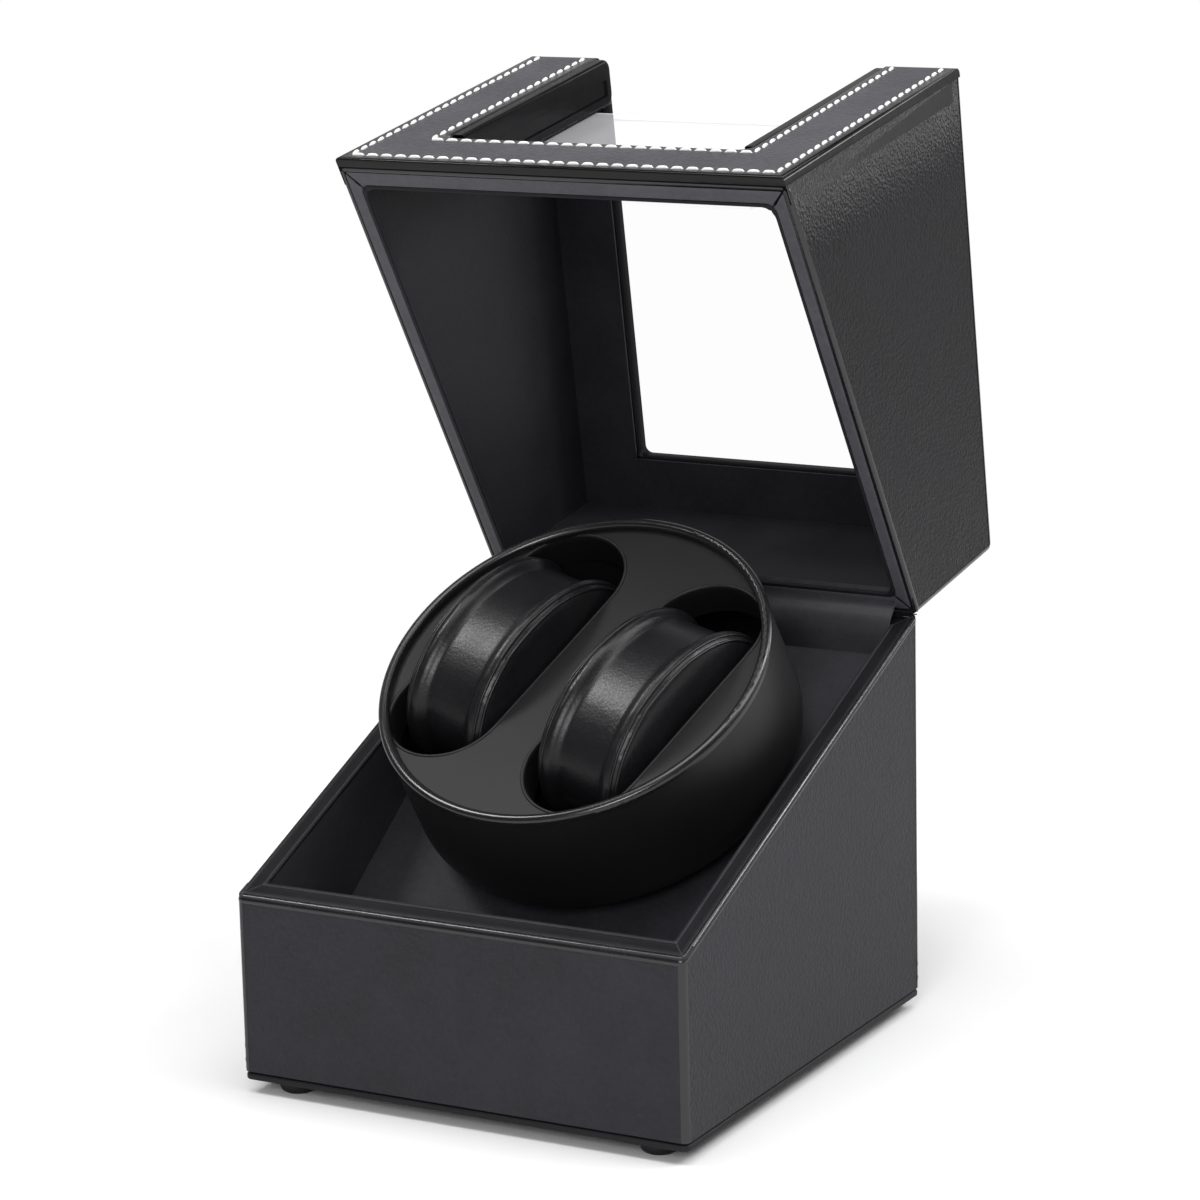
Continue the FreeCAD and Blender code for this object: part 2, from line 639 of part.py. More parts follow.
deck_half = "lined_side - deck_fit"
deck = pad("Deck", "YZ_Plane", [[
    (deck_end(-1, "deck_top"), "-deck_top"), (deck_end(1, "deck_top"), "-deck_top"),
    (deck_end(1, "deck_under"), "-deck_under"), (deck_end(-1, "deck_under"), "-deck_under")]],
    f"2 * ({deck_half})", both_ways=True)
post_places = [(x, y) for x in ("post_inset - plate_left", "plate_right - post_inset")
               for y in ("post_inset - plate_half", "plate_half - post_inset")]
pocket(deck, "XY_Plane", [("circle", 0, 0, "bush_radius")]
       + [("circle", x, y, "screw_radius") for x, y in post_places])
keep(put(deck, *DECK), "deck")
rail_start = f"{deck_end(-1, 'deck_under')} + rail_front_gap"
rail_end = f"{deck_end(1, 'rail_under')} - rail_back_gap"
rails = [box("rail_width", f"{rail_end} - ({rail_start})", "rail_height",
             move(x, rail_start, "-rail_under"))
         for x in ("-lined_side", "lined_side - rail_width")]
keep(put(group(*rails), *DECK), "deck_rails")

# Drum: a tube on a dished bottom with a rounded edge, a bead-like rim ring and a slotted face
cup_outer = "drum_radius - cup_top_inset"
keep(put(turned("CupWall", [[
    (cup_outer, "-rim_height"), ("cup_inside", "-rim_height"), ("cup_inside", "-lap_top"),
    ("lap_radius", "-lap_top"), ("lap_radius", "-cup_swell"), ("drum_radius", "-cup_swell")]]),
    *DRUM), "drum_cup")
cup = turned("CupBottom", [[
    ("hub_spigot", "-cup_depth"), ("drum_radius", "-cup_depth"), ("drum_radius", "-cup_swell"),
    ("lap_radius", "-cup_swell"), ("lap_radius", "-lap_top"), ("cup_inside", "-lap_top"),
    ("cup_inside", "-cup_floor"), ("hub_spigot", "-cup_floor")]])
cup_depth = size("cup_depth")
cup_inside = size("drum_radius") - size("cup_top_inset") - size("cup_wall")
round_edges(cup, "cup_round", lambda middle, edge: near(middle.z, -cup_depth)
            and near(math.hypot(middle.x, middle.y), size("drum_radius")))
round_edges(cup, "cup_round - cup_wall", lambda middle, edge: near(
    middle.z, size("cup_wall") - cup_depth)
    and near(math.hypot(middle.x, middle.y), cup_inside))
hub_screw_places = [(f"hub_screw_circle * cos({i} * 360 / hub_screws)",
                     f"hub_screw_circle * sin({i} * 360 / hub_screws)")
                    for i in range(round(size("hub_screws")))]
pocket(cup, "XY_Plane", [("circle", x, y, "screw_radius") for x, y in hub_screw_places])
keep(put(cup, *DRUM), "drum_bottom")

rim = turned("Rim", [rectangle("drum_radius - rim_width", "drum_radius", "-rim_height", 0)])
round_edges(rim, "rim_width / 2 - shaft_fit", lambda middle, edge: near(middle.z, 0))
keep(put(rim, *DRUM), "drum_rim")


def slot_tool(side, grow, top, height):
    """The outline of a cushion slot as a solid, grown all round."""
    middle = f"{side} * slot_spacing / 2"
    half = f"slot_width / 2 + {grow}"
    straight = "slot_length / 2 - slot_width / 2"
    items = [box(f"2 * ({half})", f"2 * ({straight})", height,
                 move(f"{middle} - ({half})", f"-({straight})", f"{top} - ({height})"))]
    for end in (-1, 1):
        items.append(rod(half, height, move(middle, f"{end} * ({straight})",
                                            f"{top} - ({height})")))
    return fuse(*items)


face_outer = "cup_inside - face_fit"
face_middle = "-rim_height - face_board / 2"
plate = rod(face_outer, "face_board", move(0, 0, "-face_under"))
slots = fuse(*[slot_tool(side, "0", f"{face_middle} + face_board", "2 * face_board")
               for side in (-1, 1)])
keep(put(cut(plate, slots), *DRUM), "drum_face")

# A collar hangs under the face round each slot, cut back where the cup's wall is near
collars = []
for side in (-1, 1):
    collar = doc.addObject("Part::Common", "Collar")
    collar.Base = cut(slot_tool(side, "collar_wall", "-face_under", "collar_depth"),
                      slot_tool(side, "0", face_middle, "2 * collar_under"))
    collar.Tool = rod(face_outer, "collar_depth", move(0, 0, "-collar_under"))
    collars.append(collar)
keep(put(group(*collars), *DRUM), "slot_collars")

hub = turned("Hub", [[
    ("shaft_radius", "-cup_depth"), ("hub_spigot", "-cup_depth"), ("hub_spigot", "-cup_floor"),
    ("hub_radius", "-cup_floor"), ("hub_radius", "-hub_top"), ("shaft_radius", "-hub_top")]])
pocket(hub, "XY_Plane", [("circle", x, y, "screw_radius") for x, y in hub_screw_places])
keep(put(hub, *DRUM), "drum_hub")
keep(put(group(*[screw("hub_flange + cup_wall", move(x, y, "-hub_top"))
                 for x, y in hub_screw_places]), *DRUM), "hub_screws")
keep(put(turned("Pad", [rectangle("pad_hole", "pad_radius", "-cup_floor", "-pad_top")]),
         *DRUM), "drum_floor_pad")

# Drive: the shaft runs in two bushes, and a motor turns it through one pair of gears
keep(put(turned("Shaft", [rectangle(0, "shaft_radius", "-shaft_under", "-hub_top")]), *DRUM),
     "drum_shaft")
keep(put(turned("Washer", [rectangle("bush_bore", "washer_radius", "-washer_under",
                                     "-washer_top")]), *DECK), "thrust_washer")
keep(put(turned("Bush", [[
    ("bush_bore", "-deck_under - bush_drop"), ("bush_radius", "-deck_under - bush_drop"),
    ("bush_radius", "-deck_top"), ("washer_radius", "-deck_top"),
    ("washer_radius", "-washer_under"), ("bush_bore", "-washer_under")]]), *DECK), "deck_bush")
keep(put(turned("Bush", [rectangle("bush_bore", "bush_radius", "-plate_bush_under",
                                   "-plate_bush_top")]), *DECK), "plate_bush")
clip = turned("Clip", [rectangle("shaft_radius", "clip_radius", "-clip_top - clip_thickness",
                                 "-clip_top")])
pocket(clip, "XY_Plane", [rectangle(0, "2 * clip_radius", "-shaft_radius / 2",
                                    "shaft_radius / 2")])
keep(put(clip, *DRUM), "shaft_clip")

gear_plate = pad("GearboxPlate", "XY_Plane", [
    rectangle("-plate_left", "plate_right", "-plate_half", "plate_half"),
    ("circle", 0, 0, "bush_radius"), ("circle", "gear_centres", 0, "motor_boss"),
    ("circle", "gear_centres", "motor_screw_circle", "screw_radius"),
    ("circle", "gear_centres", "-motor_screw_circle", "screw_radius")]
    + [("circle", x, y, "screw_radius") for x, y in post_places],
    "plate_thickness", "-plate_under")
keep(put(gear_plate, *DECK), "gearbox_plate")
posts = [turned("Post", [rectangle("screw_radius", "post_radius", "-plate_top",
                                   "-deck_under")]) for place in post_places]
keep(put(group(*[put(post, move(x, y, 0)) for post, (x, y) in zip(posts, post_places)]),
         *DECK), "gearbox_posts")
keep(put(group(*[screw("plate_thickness + post_height + deck_board - seat_gap",
                       move(x, y, "-plate_under", "1; 0; 0", 180)) for x, y in post_places]),
         *DECK), "gearbox_screws")

motor = turned("Motor", [[
    ("motor_shaft + shaft_fit", "-plate_under - motor_length"),
    ("motor_radius", "-plate_under - motor_length"), ("motor_radius", "-plate_under"),
    ("motor_boss", "-plate_under"), ("motor_boss", "-plate_top"),
    ("motor_shaft + shaft_fit", "-plate_top")]])
pocket(motor, "XY_Plane", [("circle", 0, "motor_screw_circle", "screw_radius"),
                           ("circle", 0, "-motor_screw_circle", "screw_radius")],
       "2 * screw_head", "-plate_under")
round_edges(motor, "motor_shaft", lambda middle, edge: near(
    middle.z, -size("cup_depth") - size("deck_clearance") - size("deck_board")
    - size("post_height") - size("plate_thickness") - size("motor_length"))
    and math.hypot(middle.x, middle.y) > size("motor_radius") - 1)
keep(put(motor, *MOTOR), "motor")
keep(put(group(*[screw("plate_thickness + screw_head", move(0, y, "-plate_top"))
                 for y in ("motor_screw_circle", "-motor_screw_circle")]), *MOTOR),
     "motor_screws")
keep(put(turned("MotorShaft", [rectangle(
    0, "motor_shaft", "-plate_under - motor_length", "-gear_top + pinion_over")]), *MOTOR),
    "motor_shaft")


def gear(teeth, bore, low, high, first_tooth):
    """A spur gear with involute flanks, its first tooth centred on an angle."""
    module = size("gear_module")
    pressure = math.radians(20)
    pitch = module * teeth / 2
    base = pitch * math.cos(pressure)
    tip = pitch + module
    root = pitch - 1.25 * module
    half_tooth = math.pi / 2 / teeth - size("gear_backlash") / 4 / pitch
    rolled = math.tan(pressure) - pressure

    def flank(radius):
        """Half the tooth's angle at a radius on its involute."""
        angle = math.acos(min(1, base / radius))
        return half_tooth + rolled - (math.tan(angle) - angle)

    start = max(base, root)
    radii = [start + (tip - start) * i / 3 for i in range(4)]
    points = []
    for i in range(teeth):
        middle = first_tooth + 2 * math.pi * i / teeth
        side = [(radius, flank(radius)) for radius in radii]
        if root < base:
            side.insert(0, (root, flank(base)))
        corners = [(radius, -angle) for radius, angle in side]
        corners += [(radius, angle) for radius, angle in reversed(side)]
        points += [Vector(radius * math.cos(middle + angle),
                          radius * math.sin(middle + angle), low)
                   for radius, angle in corners]
    outline = Part.Face(Part.makePolygon(points + points[:1]))
    solid = outline.extrude(Vector(0, 0, high - low))
    return solid.cut(Part.makeCylinder(bore, 4 * (high - low), Vector(0, 0, 2 * low - high)))


def level(*names):
    """Minus the sum of some sizes: a height below the rim plane."""
    return -sum(size(name) for name in names)


gear_high = level("cup_depth", "deck_clearance", "deck_board", "gear_drop")
gear_low = gear_high - size("gear_width")
bush_high = level("cup_depth", "deck_clearance", "deck_board", "post_height") + size("bush_drop")
drum_gear = doc.addObject("Part::Feature", "DrumGear")
wheel = gear(round(size("drum_teeth")), size("shaft_radius"), gear_low, gear_high,
             math.pi / size("drum_teeth"))
wheel_hub = Part.makeCylinder(size("gear_hub_radius"), gear_low - bush_high - size("washer_gap"),
                              Vector(0, 0, bush_high + size("washer_gap")))
bore = Part.makeCylinder(size("shaft_radius"), size("case_depth"),
                         Vector(0, 0, -size("case_depth")))
drum_gear.Shape = wheel.fuse(wheel_hub.cut(bore))
keep(put(drum_gear, *DECK), "drum_gear")
pinion = doc.addObject("Part::Feature", "Pinion")
pinion.Shape = gear(round(size("motor_teeth")), size("motor_shaft"),
                    gear_low - size("pinion_over"), gear_high + size("pinion_over"), math.pi)
keep(put(pinion, *MOTOR), "motor_pinion")

# Cushions: padded pillows, oval in side view, with smaller ends to their cheeks
turn_upright = (0, 0, 0, "1; 1; 1", 120)
for label, side in (("cushion_left", -1), ("cushion_right", 1)):
    ovals = []
    for across, inset in ((-1, 1), (-1, 0), (1, 0), (1, 1)):
        oval = doc.addObject("Part::Ellipse", "Oval")
        oval.setExpression("MajorRadius", bound(f"cushion_length / 2 - {inset} * cheek_inset"))
        oval.setExpression("MinorRadius",
                           bound(f"cushion_thickness / 2 - {inset} * cheek_inset"))
        reach = f"{across} * (cushion_width / 2 - {1 - inset} * cheek_width)"
        ovals.append(put(oval, move(0, 0, reach)))
    cushion = doc.addObject("Part::Loft", "Cushion")
    cushion.Sections = ovals
    cushion.Solid = True
    cushion.Ruled = True
    keep(put(cushion, *DRUM, move(f"{side} * cushion_spacing / 2", 0, "-cushion_low"),
             move(*turn_upright)), label)

# Electronics: a control board on posts, a power jack and a rocker switch in the back wall
board_front = "board_back - board_length"
board_corners = [(x, y) for x in ("post_radius - board_width / 2", "board_width / 2 - post_radius")
                 for y in (f"{board_front} + post_radius", "board_back - post_radius")]
board = pad("Board", "XY_Plane", [
    rectangle("-board_width / 2", "board_width / 2", board_front, "board_back")]
    + [("circle", x, y, "screw_radius") for x, y in board_corners],
    "board_thickness", "board_under")
keep(board, "control_board")
keep(group(*[rod("post_radius", "board_lift", move(x, y, "wall_foot"))
             for x, y in board_corners]), "board_posts")
board_top = "board_under + board_thickness"
chip = box("board_length / 4", "board_length / 4", "board_thickness",
           move("-board_length / 8", f"{board_front} + board_length / 4", board_top))
cans = [rod("board_lift / 2", "board_lift", move(x, "board_back - board_length / 3", board_top))
        for x in ("-board_width / 5", "board_width / 5")]
plug = box("board_width / 4", "board_lift", "board_lift",
           move("board_width / 8", f"{board_front} + board_lift", board_top))
keep(group(chip, plug, *cans), "board_parts")

jack_frame = (move("-jack_side", "bezel_face", "socket_height"), BACK_FACE)
jack = turned("Jack", [[
    (0, "-panel_lip - jack_length"), ("jack_barrel", "-panel_lip - jack_length"),
    ("jack_barrel", "-panel_lip"), ("jack_flange", "-panel_lip"), ("jack_flange", 0),
    ("jack_bore", 0), ("jack_bore", "-jack_bore_depth"), ("jack_pin", "-jack_bore_depth"),
    ("jack_pin", "-panel_lip"), (0, "-panel_lip")]])
keep(put(jack, *jack_frame), "power_jack")
nut_top = "-panel_lip - end_board - lining"
flat = "nut_radius * cos(30)"
nut = pad("Nut", "XY_Plane", [
    [("nut_radius", 0), ("nut_radius / 2", flat), ("-nut_radius / 2", flat),
     ("-nut_radius", 0), ("-nut_radius / 2", f"-{flat}"), ("nut_radius / 2", f"-{flat}")],
    ("circle", 0, 0, "jack_barrel")], "nut_height", f"{nut_top} - nut_height")
keep(put(nut, *jack_frame), "jack_nut")

switch_frame = (move("switch_side", "bezel_face", "socket_height"), BACK_FACE)
body_x = "switch_hole_width / 2 - shaft_fit"
body_y = "switch_hole_height / 2 - shaft_fit"
bezel = pad("Bezel", "XY_Plane", [rectangle(
    "-switch_width / 2", "switch_width / 2", "-switch_height / 2", "switch_height / 2")],
    "panel_lip", "-panel_lip")
shell = bezel.newObject("PartDesign::Pad", "Pad")
shell.Profile = sketch_on(bezel, "XY_Plane", [rectangle(
    f"-({body_x})", body_x, f"-({body_y})", body_y)], "-panel_lip - switch_depth")
shell.setExpression("Length", bound("switch_depth"))
doc.recompute()
pocket(bezel, "XY_Plane", [rectangle(
    f"switch_body_wall - ({body_x})", f"{body_x} - switch_body_wall",
    f"switch_body_wall - ({body_y})", f"{body_y} - switch_body_wall")],
    "panel_lip + switch_depth - switch_body_wall")
keep(put(bezel, *switch_frame), "switch_bezel")
rocker = pad("Rocker", "YZ_Plane", [[
    ("-rocker_half", "-rocker_pivot"), ("rocker_half", "-rocker_pivot"),
    ("rocker_half", "rocker_half * sin(rocker_tilt)"), (0, "-rocker_rise / 2"),
    ("-rocker_half", "rocker_half * sin(rocker_tilt)")]],
    f"2 * ({body_x} - switch_body_wall - rocker_gap)", both_ways=True)
keep(put(rocker, *switch_frame, move(0, 0, "-rocker_pivot", "1; 0; 0", "rocker_tilt"),
         move(0, 0, "rocker_pivot")), "switch_rocker")


# Lid, drawn closed with its origin on the hinge axis, then swung open
def lid_mouth(body):
    """Cuts a piece of the lid along the sloping mouth."""
    pocket(body, "YZ_Plane", [[
        ("-2 * case_depth", "mouth_gap / 2 - slope * 2 * case_depth"),
        ("case_depth", "mouth_gap / 2 + slope * case_depth"),
        ("case_depth", "-2 * case_depth"), ("-2 * case_depth", "-2 * case_depth")]])
    return body


def lid_rim_edge(middle, wanted):
    slope = (size("back_wall") - size("front_wall")) / size("case_depth")
    return near(middle.z, slope * middle.y + size("mouth_gap") / 2) and wanted


lid_low = "front_wall - back_wall"
lid_depth = size("case_depth")
for label, side in (("lid_left", -1), ("lid_right", 1)):
    wall = pad("LidSide", "XY_Plane", [rectangle(
        f"{side} * half_width", f"{side} * inner_side", "board_inner", "-end_board")],
        f"lid_under - ({lid_low})", lid_low)
    lid_mouth(wall)
    round_edges(wall, "rim_round", lambda middle, edge: lid_rim_edge(
        middle, near(abs(middle.x), half_width)))
    keep(put(wall, *LID), label)

back = pad("LidBack", "XY_Plane", [rectangle(
    "-half_width", "half_width", "-end_board", 0)], f"lid_under - ({lid_low})", lid_low)
lid_mouth(back)
round_edges(back, "corner_round", lambda middle, edge: upright(edge) and near(middle.y, 0))
mortise(back, 1, "0", "0")
keep(put(screw_holes(back, 1, move(0, 0, 0, "1; 0; 0", "atan(slope)")), *LID), "lid_back")

front = pad("LidFront", "XY_Plane", [rectangle(
    "-half_width", "half_width", "board_front", "sash_inner")],
    f"lid_under - ({lid_low})", lid_low)
lid_mouth(front)
pocket(front, "XZ_Plane", [
    rectangle("-2 * half_width", "2 * half_width", "-case_depth", "2 * lid_rise"),
    rectangle("-sash_half", "sash_half", "sash_low", "lid_rise")],
    "sash_depth + pane_thickness", "-board_inner")
pocket(front, "XZ_Plane", [rectangle("-window_half", "window_half", "bar_top", "lid_rise")])
pocket(front, "XZ_Plane", [rectangle("-pane_half", "pane_half", "bar_top - pane_lap",
                                     "lid_rise")],
       "pane_thickness", "-pane_seat")
keep(put(front, *LID), "lid_front")

top = pad("LidTop", "XY_Plane", [[
    ("-half_width", "board_front"), ("-half_width", 0), ("half_width", 0),
    ("half_width", "board_front"), ("window_half", "board_front"),
    ("window_half", "-window_back"), ("-window_half", "-window_back"),
    ("-window_half", "board_front")]], "top_board", "lid_under")
pocket(top, "XY_Plane", [rectangle("-pane_half", "pane_half", "pane_seat",
                                   "pane_lap - window_back")],
       "pane_thickness", "lid_under", reverse=True)
round_edges(top, "corner_round", lambda middle, edge: upright(edge) and near(middle.y, 0)
            and near(abs(middle.x), half_width))
round_edges(top, "top_round", lambda middle, edge: near(middle.z, size("lid_rise"))
            and (near(abs(middle.x), half_width) or middle.y > -size("corner_round")))
keep(put(top, *LID), "lid_top")

frame = pad("FrontFrame", "XZ_Plane", [[
    ("-half_width", lid_low), ("half_width", lid_low), ("half_width", "lid_rise"),
    ("frame_inner", "lid_rise"), ("frame_inner", "bar_top"), ("-frame_inner", "bar_top"),
    ("-frame_inner", "lid_rise"), ("-half_width", "lid_rise")]],
    "frame_board", "-board_front")
lid_mouth(frame)
round_edges(frame, "notch_round", lambda middle, edge: near(middle.z, size("front_bar")
            - size("back_wall") + size("front_wall")) and not near(middle.x, 0))
round_edges(frame, "frame_round", lambda middle, edge: near(middle.z, size("lid_rise"))
            and near(middle.y, -lid_depth))
keep(put(frame, *LID), "front_frame")

pane = pad("Pane", "YZ_Plane", [[
    ("pane_seat", "bar_top - pane_lap + pane_fit"), ("sash_inner", "bar_top - pane_lap + pane_fit"),
    ("sash_inner", "lid_under"), ("pane_lap - window_back - pane_fit", "lid_under"),
    ("pane_lap - window_back - pane_fit", "pane_top"), ("pane_seat", "pane_top")]],
    "2 * (pane_half - pane_fit)", both_ways=True)
pane_inner_y = (size("frame_board") - lid_depth + size("front_board") + size("sash_depth")
                + size("pane_thickness"))
pane_inner_z = size("lid_rise") - size("top_board")
round_edges(pane, "pane_bend", lambda middle, edge: near(middle.y, pane_inner_y)
            and near(middle.z, pane_inner_z))
round_edges(pane, "pane_bend + pane_thickness", lambda middle, edge: near(
    middle.y, pane_inner_y - size("pane_thickness"))
    and near(middle.z, pane_inner_z + size("pane_thickness")))
keep(put(pane, *LID), "window_pane")

lid_ring = pad("LidLining", "XY_Plane", [
    rectangle("-inner_side", "inner_side", "board_inner", "-end_board"),
    rectangle("-lined_side", "lined_side", "front_lined", "-end_board - lining")],
    f"lid_lined - ({lid_low})", lid_low)
lid_mouth(lid_ring)
pocket(lid_ring, "XZ_Plane", [rectangle("-sash_half", "sash_half", "sash_low", "lid_rise")],
       "half_depth", "half_depth", reverse=True)
keep(put(lid_ring, *LID), "lid_lining")
keep(put(pad("TopLining", "XY_Plane", [[
    ("-inner_side", "board_inner"), ("-inner_side", "-end_board"), ("inner_side", "-end_board"),
    ("inner_side", "board_inner"), ("sash_half", "board_inner"), ("sash_half", "sash_inner"),
    ("bend_side", "sash_inner"), ("bend_side", "bend_back"),
    ("window_half", "bend_back"), ("window_half", "-window_back"),
    ("-window_half", "-window_back"), ("-window_half", "bend_back"),
    ("-bend_side", "bend_back"), ("-bend_side", "sash_inner"),
    ("-sash_half", "sash_inner"), ("-sash_half", "board_inner")]],
    "lining", "lid_lined"), *LID), "lid_top_lining")


# A soft strip covers the hinges inside, bowed into the open angle of the rims
def bowed_strip():
    """The strip at rest, as a bent sheet: down the back wall, over the gap and up the lid."""
    lean = math.radians(size("open_angle"))
    slope = (size("back_wall") - size("front_wall")) / size("case_depth")
    hinge_up = size("foot_height") + size("floor_board") + size("groove_height") + size("back_wall")
    lined = size("end_board") + size("lining")
    thick = size("strip_thickness")
    off = lined + size("seat_gap")

    def swung(y, z):
        """A point of the closed lid's side view, with the lid open."""
        return (size("case_depth") / 2 + y * math.cos(lean) + z * math.sin(lean),
                hinge_up - y * math.sin(lean) + z * math.cos(lean))

    def line(depth):
        """The sheet's five points at a depth from its seated face."""
        wall = size("case_depth") / 2 - off - depth
        rim = hinge_up - slope * off
        lid_rim = -slope * off
        low = (wall, rim - size("strip_drop"))
        turn = (wall, rim + size("seat_gap"))
        far_turn = swung(-off - depth, lid_rim - size("seat_gap"))
        end = swung(-off - depth, lid_rim + size("strip_climb"))
        bow = ((turn[0] + far_turn[0]) / 2 + size("strip_climb") / 4,
               (turn[1] + far_turn[1]) / 2 - size("strip_climb") / 8)
        return [Vector(0, y, z) for y, z in (low, turn, bow, far_turn, end)]

    def edges(points):
        low, turn, bow, far_turn, end = points
        return [Part.LineSegment(low, turn).toShape(), Part.Arc(turn, bow, far_turn).toShape(),
                Part.LineSegment(far_turn, end).toShape()]

    seated, open_side = line(0), line(thick)
    outline = edges(seated) + [Part.LineSegment(seated[-1], open_side[-1]).toShape()]
    outline += edges(open_side) + [Part.LineSegment(open_side[0], seated[0]).toShape()]
    half = size("case_width") / 2 - size("side_board") - size("lining") - size("seat_gap")
    face = Part.Face(Part.Wire(Part.__sortEdges__(outline)))
    return face.extrude(Vector(2 * half, 0, 0)).translated(Vector(-half, 0, 0))


strip = doc.addObject("Part::Feature", "Strip")
strip.Shape = bowed_strip()
keep(strip, "hinge_cover")

doc.recompute()
failed = [item.Label for item in doc.Objects
          if "Invalid" in item.State or "Error" in item.State]
failed += [item.Label for item in parts if item.Shape.isNull() or not item.Shape.isValid()]
if failed:
    raise RuntimeError(f"failed: {failed}")
os.makedirs("parts", exist_ok=True)
for item in parts:
    item.Shape.exportStep(f"parts/{item.Label}.step")
print(len(parts), "parts")
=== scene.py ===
from itertools import pairwise
from math import cos, exp, hypot, pi, radians, sin

import bmesh
import bpy
from mathutils import Matrix, Vector
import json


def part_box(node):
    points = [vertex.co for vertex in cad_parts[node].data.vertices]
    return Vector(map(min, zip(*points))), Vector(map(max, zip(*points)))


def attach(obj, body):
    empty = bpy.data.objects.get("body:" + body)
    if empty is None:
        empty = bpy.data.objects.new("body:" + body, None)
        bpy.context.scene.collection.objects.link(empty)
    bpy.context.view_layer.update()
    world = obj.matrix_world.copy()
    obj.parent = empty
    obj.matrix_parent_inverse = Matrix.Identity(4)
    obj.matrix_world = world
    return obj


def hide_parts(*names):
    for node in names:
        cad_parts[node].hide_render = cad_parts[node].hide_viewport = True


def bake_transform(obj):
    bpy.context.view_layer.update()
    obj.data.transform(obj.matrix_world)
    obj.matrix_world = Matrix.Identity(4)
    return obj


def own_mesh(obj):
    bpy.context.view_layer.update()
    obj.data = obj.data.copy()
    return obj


# %% [markdown]
# # A leather-covered watch winder
# The object is a sloping box with a hinged lid. A tilted drum turns inside it and carries two
# soft cushions. The CAD model gives every size and every joint. This script dresses it: it keeps
# the solids that already look right, lays new leather, plastic and thread over the others, and
# gives each surface its finish.

# %% The CAD model as the frame
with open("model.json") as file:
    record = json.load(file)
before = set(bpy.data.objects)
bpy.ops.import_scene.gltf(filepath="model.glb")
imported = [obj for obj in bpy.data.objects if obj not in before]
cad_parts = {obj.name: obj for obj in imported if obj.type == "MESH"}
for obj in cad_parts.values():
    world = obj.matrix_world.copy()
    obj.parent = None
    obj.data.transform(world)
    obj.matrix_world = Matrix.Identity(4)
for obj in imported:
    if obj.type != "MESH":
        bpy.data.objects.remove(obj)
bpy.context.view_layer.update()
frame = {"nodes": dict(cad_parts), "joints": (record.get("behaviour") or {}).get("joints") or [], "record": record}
nodes = frame["nodes"]

# %% [markdown]
# Blender works in metres, and MM turns millimetres into them. The lid and the drum are leaning,
# so their pieces are modelled upright, in coordinates of their own, and then set in place by one
# matrix each. The matrices start from the joints of the CAD model, so that the pieces turn about
# the same axes.

# %% Places of the lid and the drum
MM = 0.001
NEAR = MM / 10
WELD = 0.000005
joints = {joint["name"]: joint for joint in frame["joints"]}
LID_OPEN = radians(81)
DRUM_LEAN = radians(34.7)
DRUM_TURN = radians(16)
hinge = Vector(joints["lid_hinge"]["pos_m"])
drum_centre = Vector(joints["drum_spin"]["pos_m"])
AT_HOME = Matrix.Identity(4)
ON_LID = Matrix.Translation(hinge) @ Matrix.Rotation(-LID_OPEN, 4, "X")
ON_DRUM = (Matrix.Translation(drum_centre) @ Matrix.Rotation(DRUM_LEAN, 4, "X")
           @ Matrix.Rotation(-DRUM_TURN, 4, "Z"))
LID_FRONT = -174 * MM
SIDES = (("left", -1), ("right", 1))
print("hinge at", tuple(hinge), "drum at", tuple(drum_centre))

# %% [markdown]
# Blender's operators act on all that is selected. The helpers below select one object, or the
# faces, edges or vertices that pass a test on their place, and then run an operator, as one
# would by hand.

# %% Selecting
def nothing():
    """Leaves edit mode and deselects every object."""
    if bpy.context.mode != "OBJECT":
        bpy.ops.object.mode_set(mode="OBJECT")
    bpy.ops.object.select_all(action="DESELECT")


def only(piece):
    """Selects one object and makes it the active one."""
    nothing()
    piece.select_set(True)
    bpy.context.view_layer.objects.active = piece


def edit(piece):
    only(piece)
    bpy.ops.object.mode_set(mode="EDIT")


def new(add, **settings):
    """Adds one of Blender's simple shapes with its operator."""
    nothing()
    add(**settings)
    return bpy.context.object


def pick(kind, test):
    """In edit mode, selects the verts, edges or faces whose centre and element pass the test."""
    bpy.ops.mesh.select_mode(type={"verts": "VERT", "edges": "EDGE", "faces": "FACE"}[kind])
    bpy.ops.mesh.select_all(action="DESELECT")
    mesh = bmesh.from_edit_mesh(bpy.context.object.data)
    found = 0
    for item in getattr(mesh, kind):
        if kind == "verts":
            middle = item.co
        elif kind == "edges":
            middle = (item.verts[0].co + item.verts[1].co) / 2
        else:
            middle = item.calc_center_median()
        if test(middle, item):
            item.select_set(True)
            found += 1
    mesh.select_flush_mode()
    bmesh.update_edit_mesh(bpy.context.object.data)
    return found


# %% [markdown]
# Every piece ends the same way: doubled vertices are merged, the normals turned outward, its
# place is written into its mesh, and it rides on a body of the CAD model.

# %% Finishing a piece
def done(piece, name, body, place=AT_HOME, smooth=35, tidy=True):
    """Names a piece, sets it in place in its mesh, smooths it and lets it ride on a CAD body."""
    edit(piece)
    bpy.ops.mesh.select_all(action="SELECT")
    if tidy:
        bpy.ops.mesh.remove_doubles(threshold=WELD)
        bpy.ops.mesh.normals_make_consistent(inside=False)
    nothing()
    only(piece)
    piece.matrix_world = place @ piece.matrix_world
    bpy.ops.object.transform_apply(location=True, rotation=True, scale=True)
    bpy.ops.object.shade_smooth_by_angle(angle=radians(smooth))
    piece.name = piece.data.name = name
    if body:
        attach(piece, body)
    print(name, len(piece.data.polygons), "faces")
    return piece


def duplicate(piece):
    """A copy of a piece, with a mesh of its own."""
    copy = piece.copy()
    copy.data = piece.data.copy()
    bpy.context.scene.collection.objects.link(copy)
    return copy


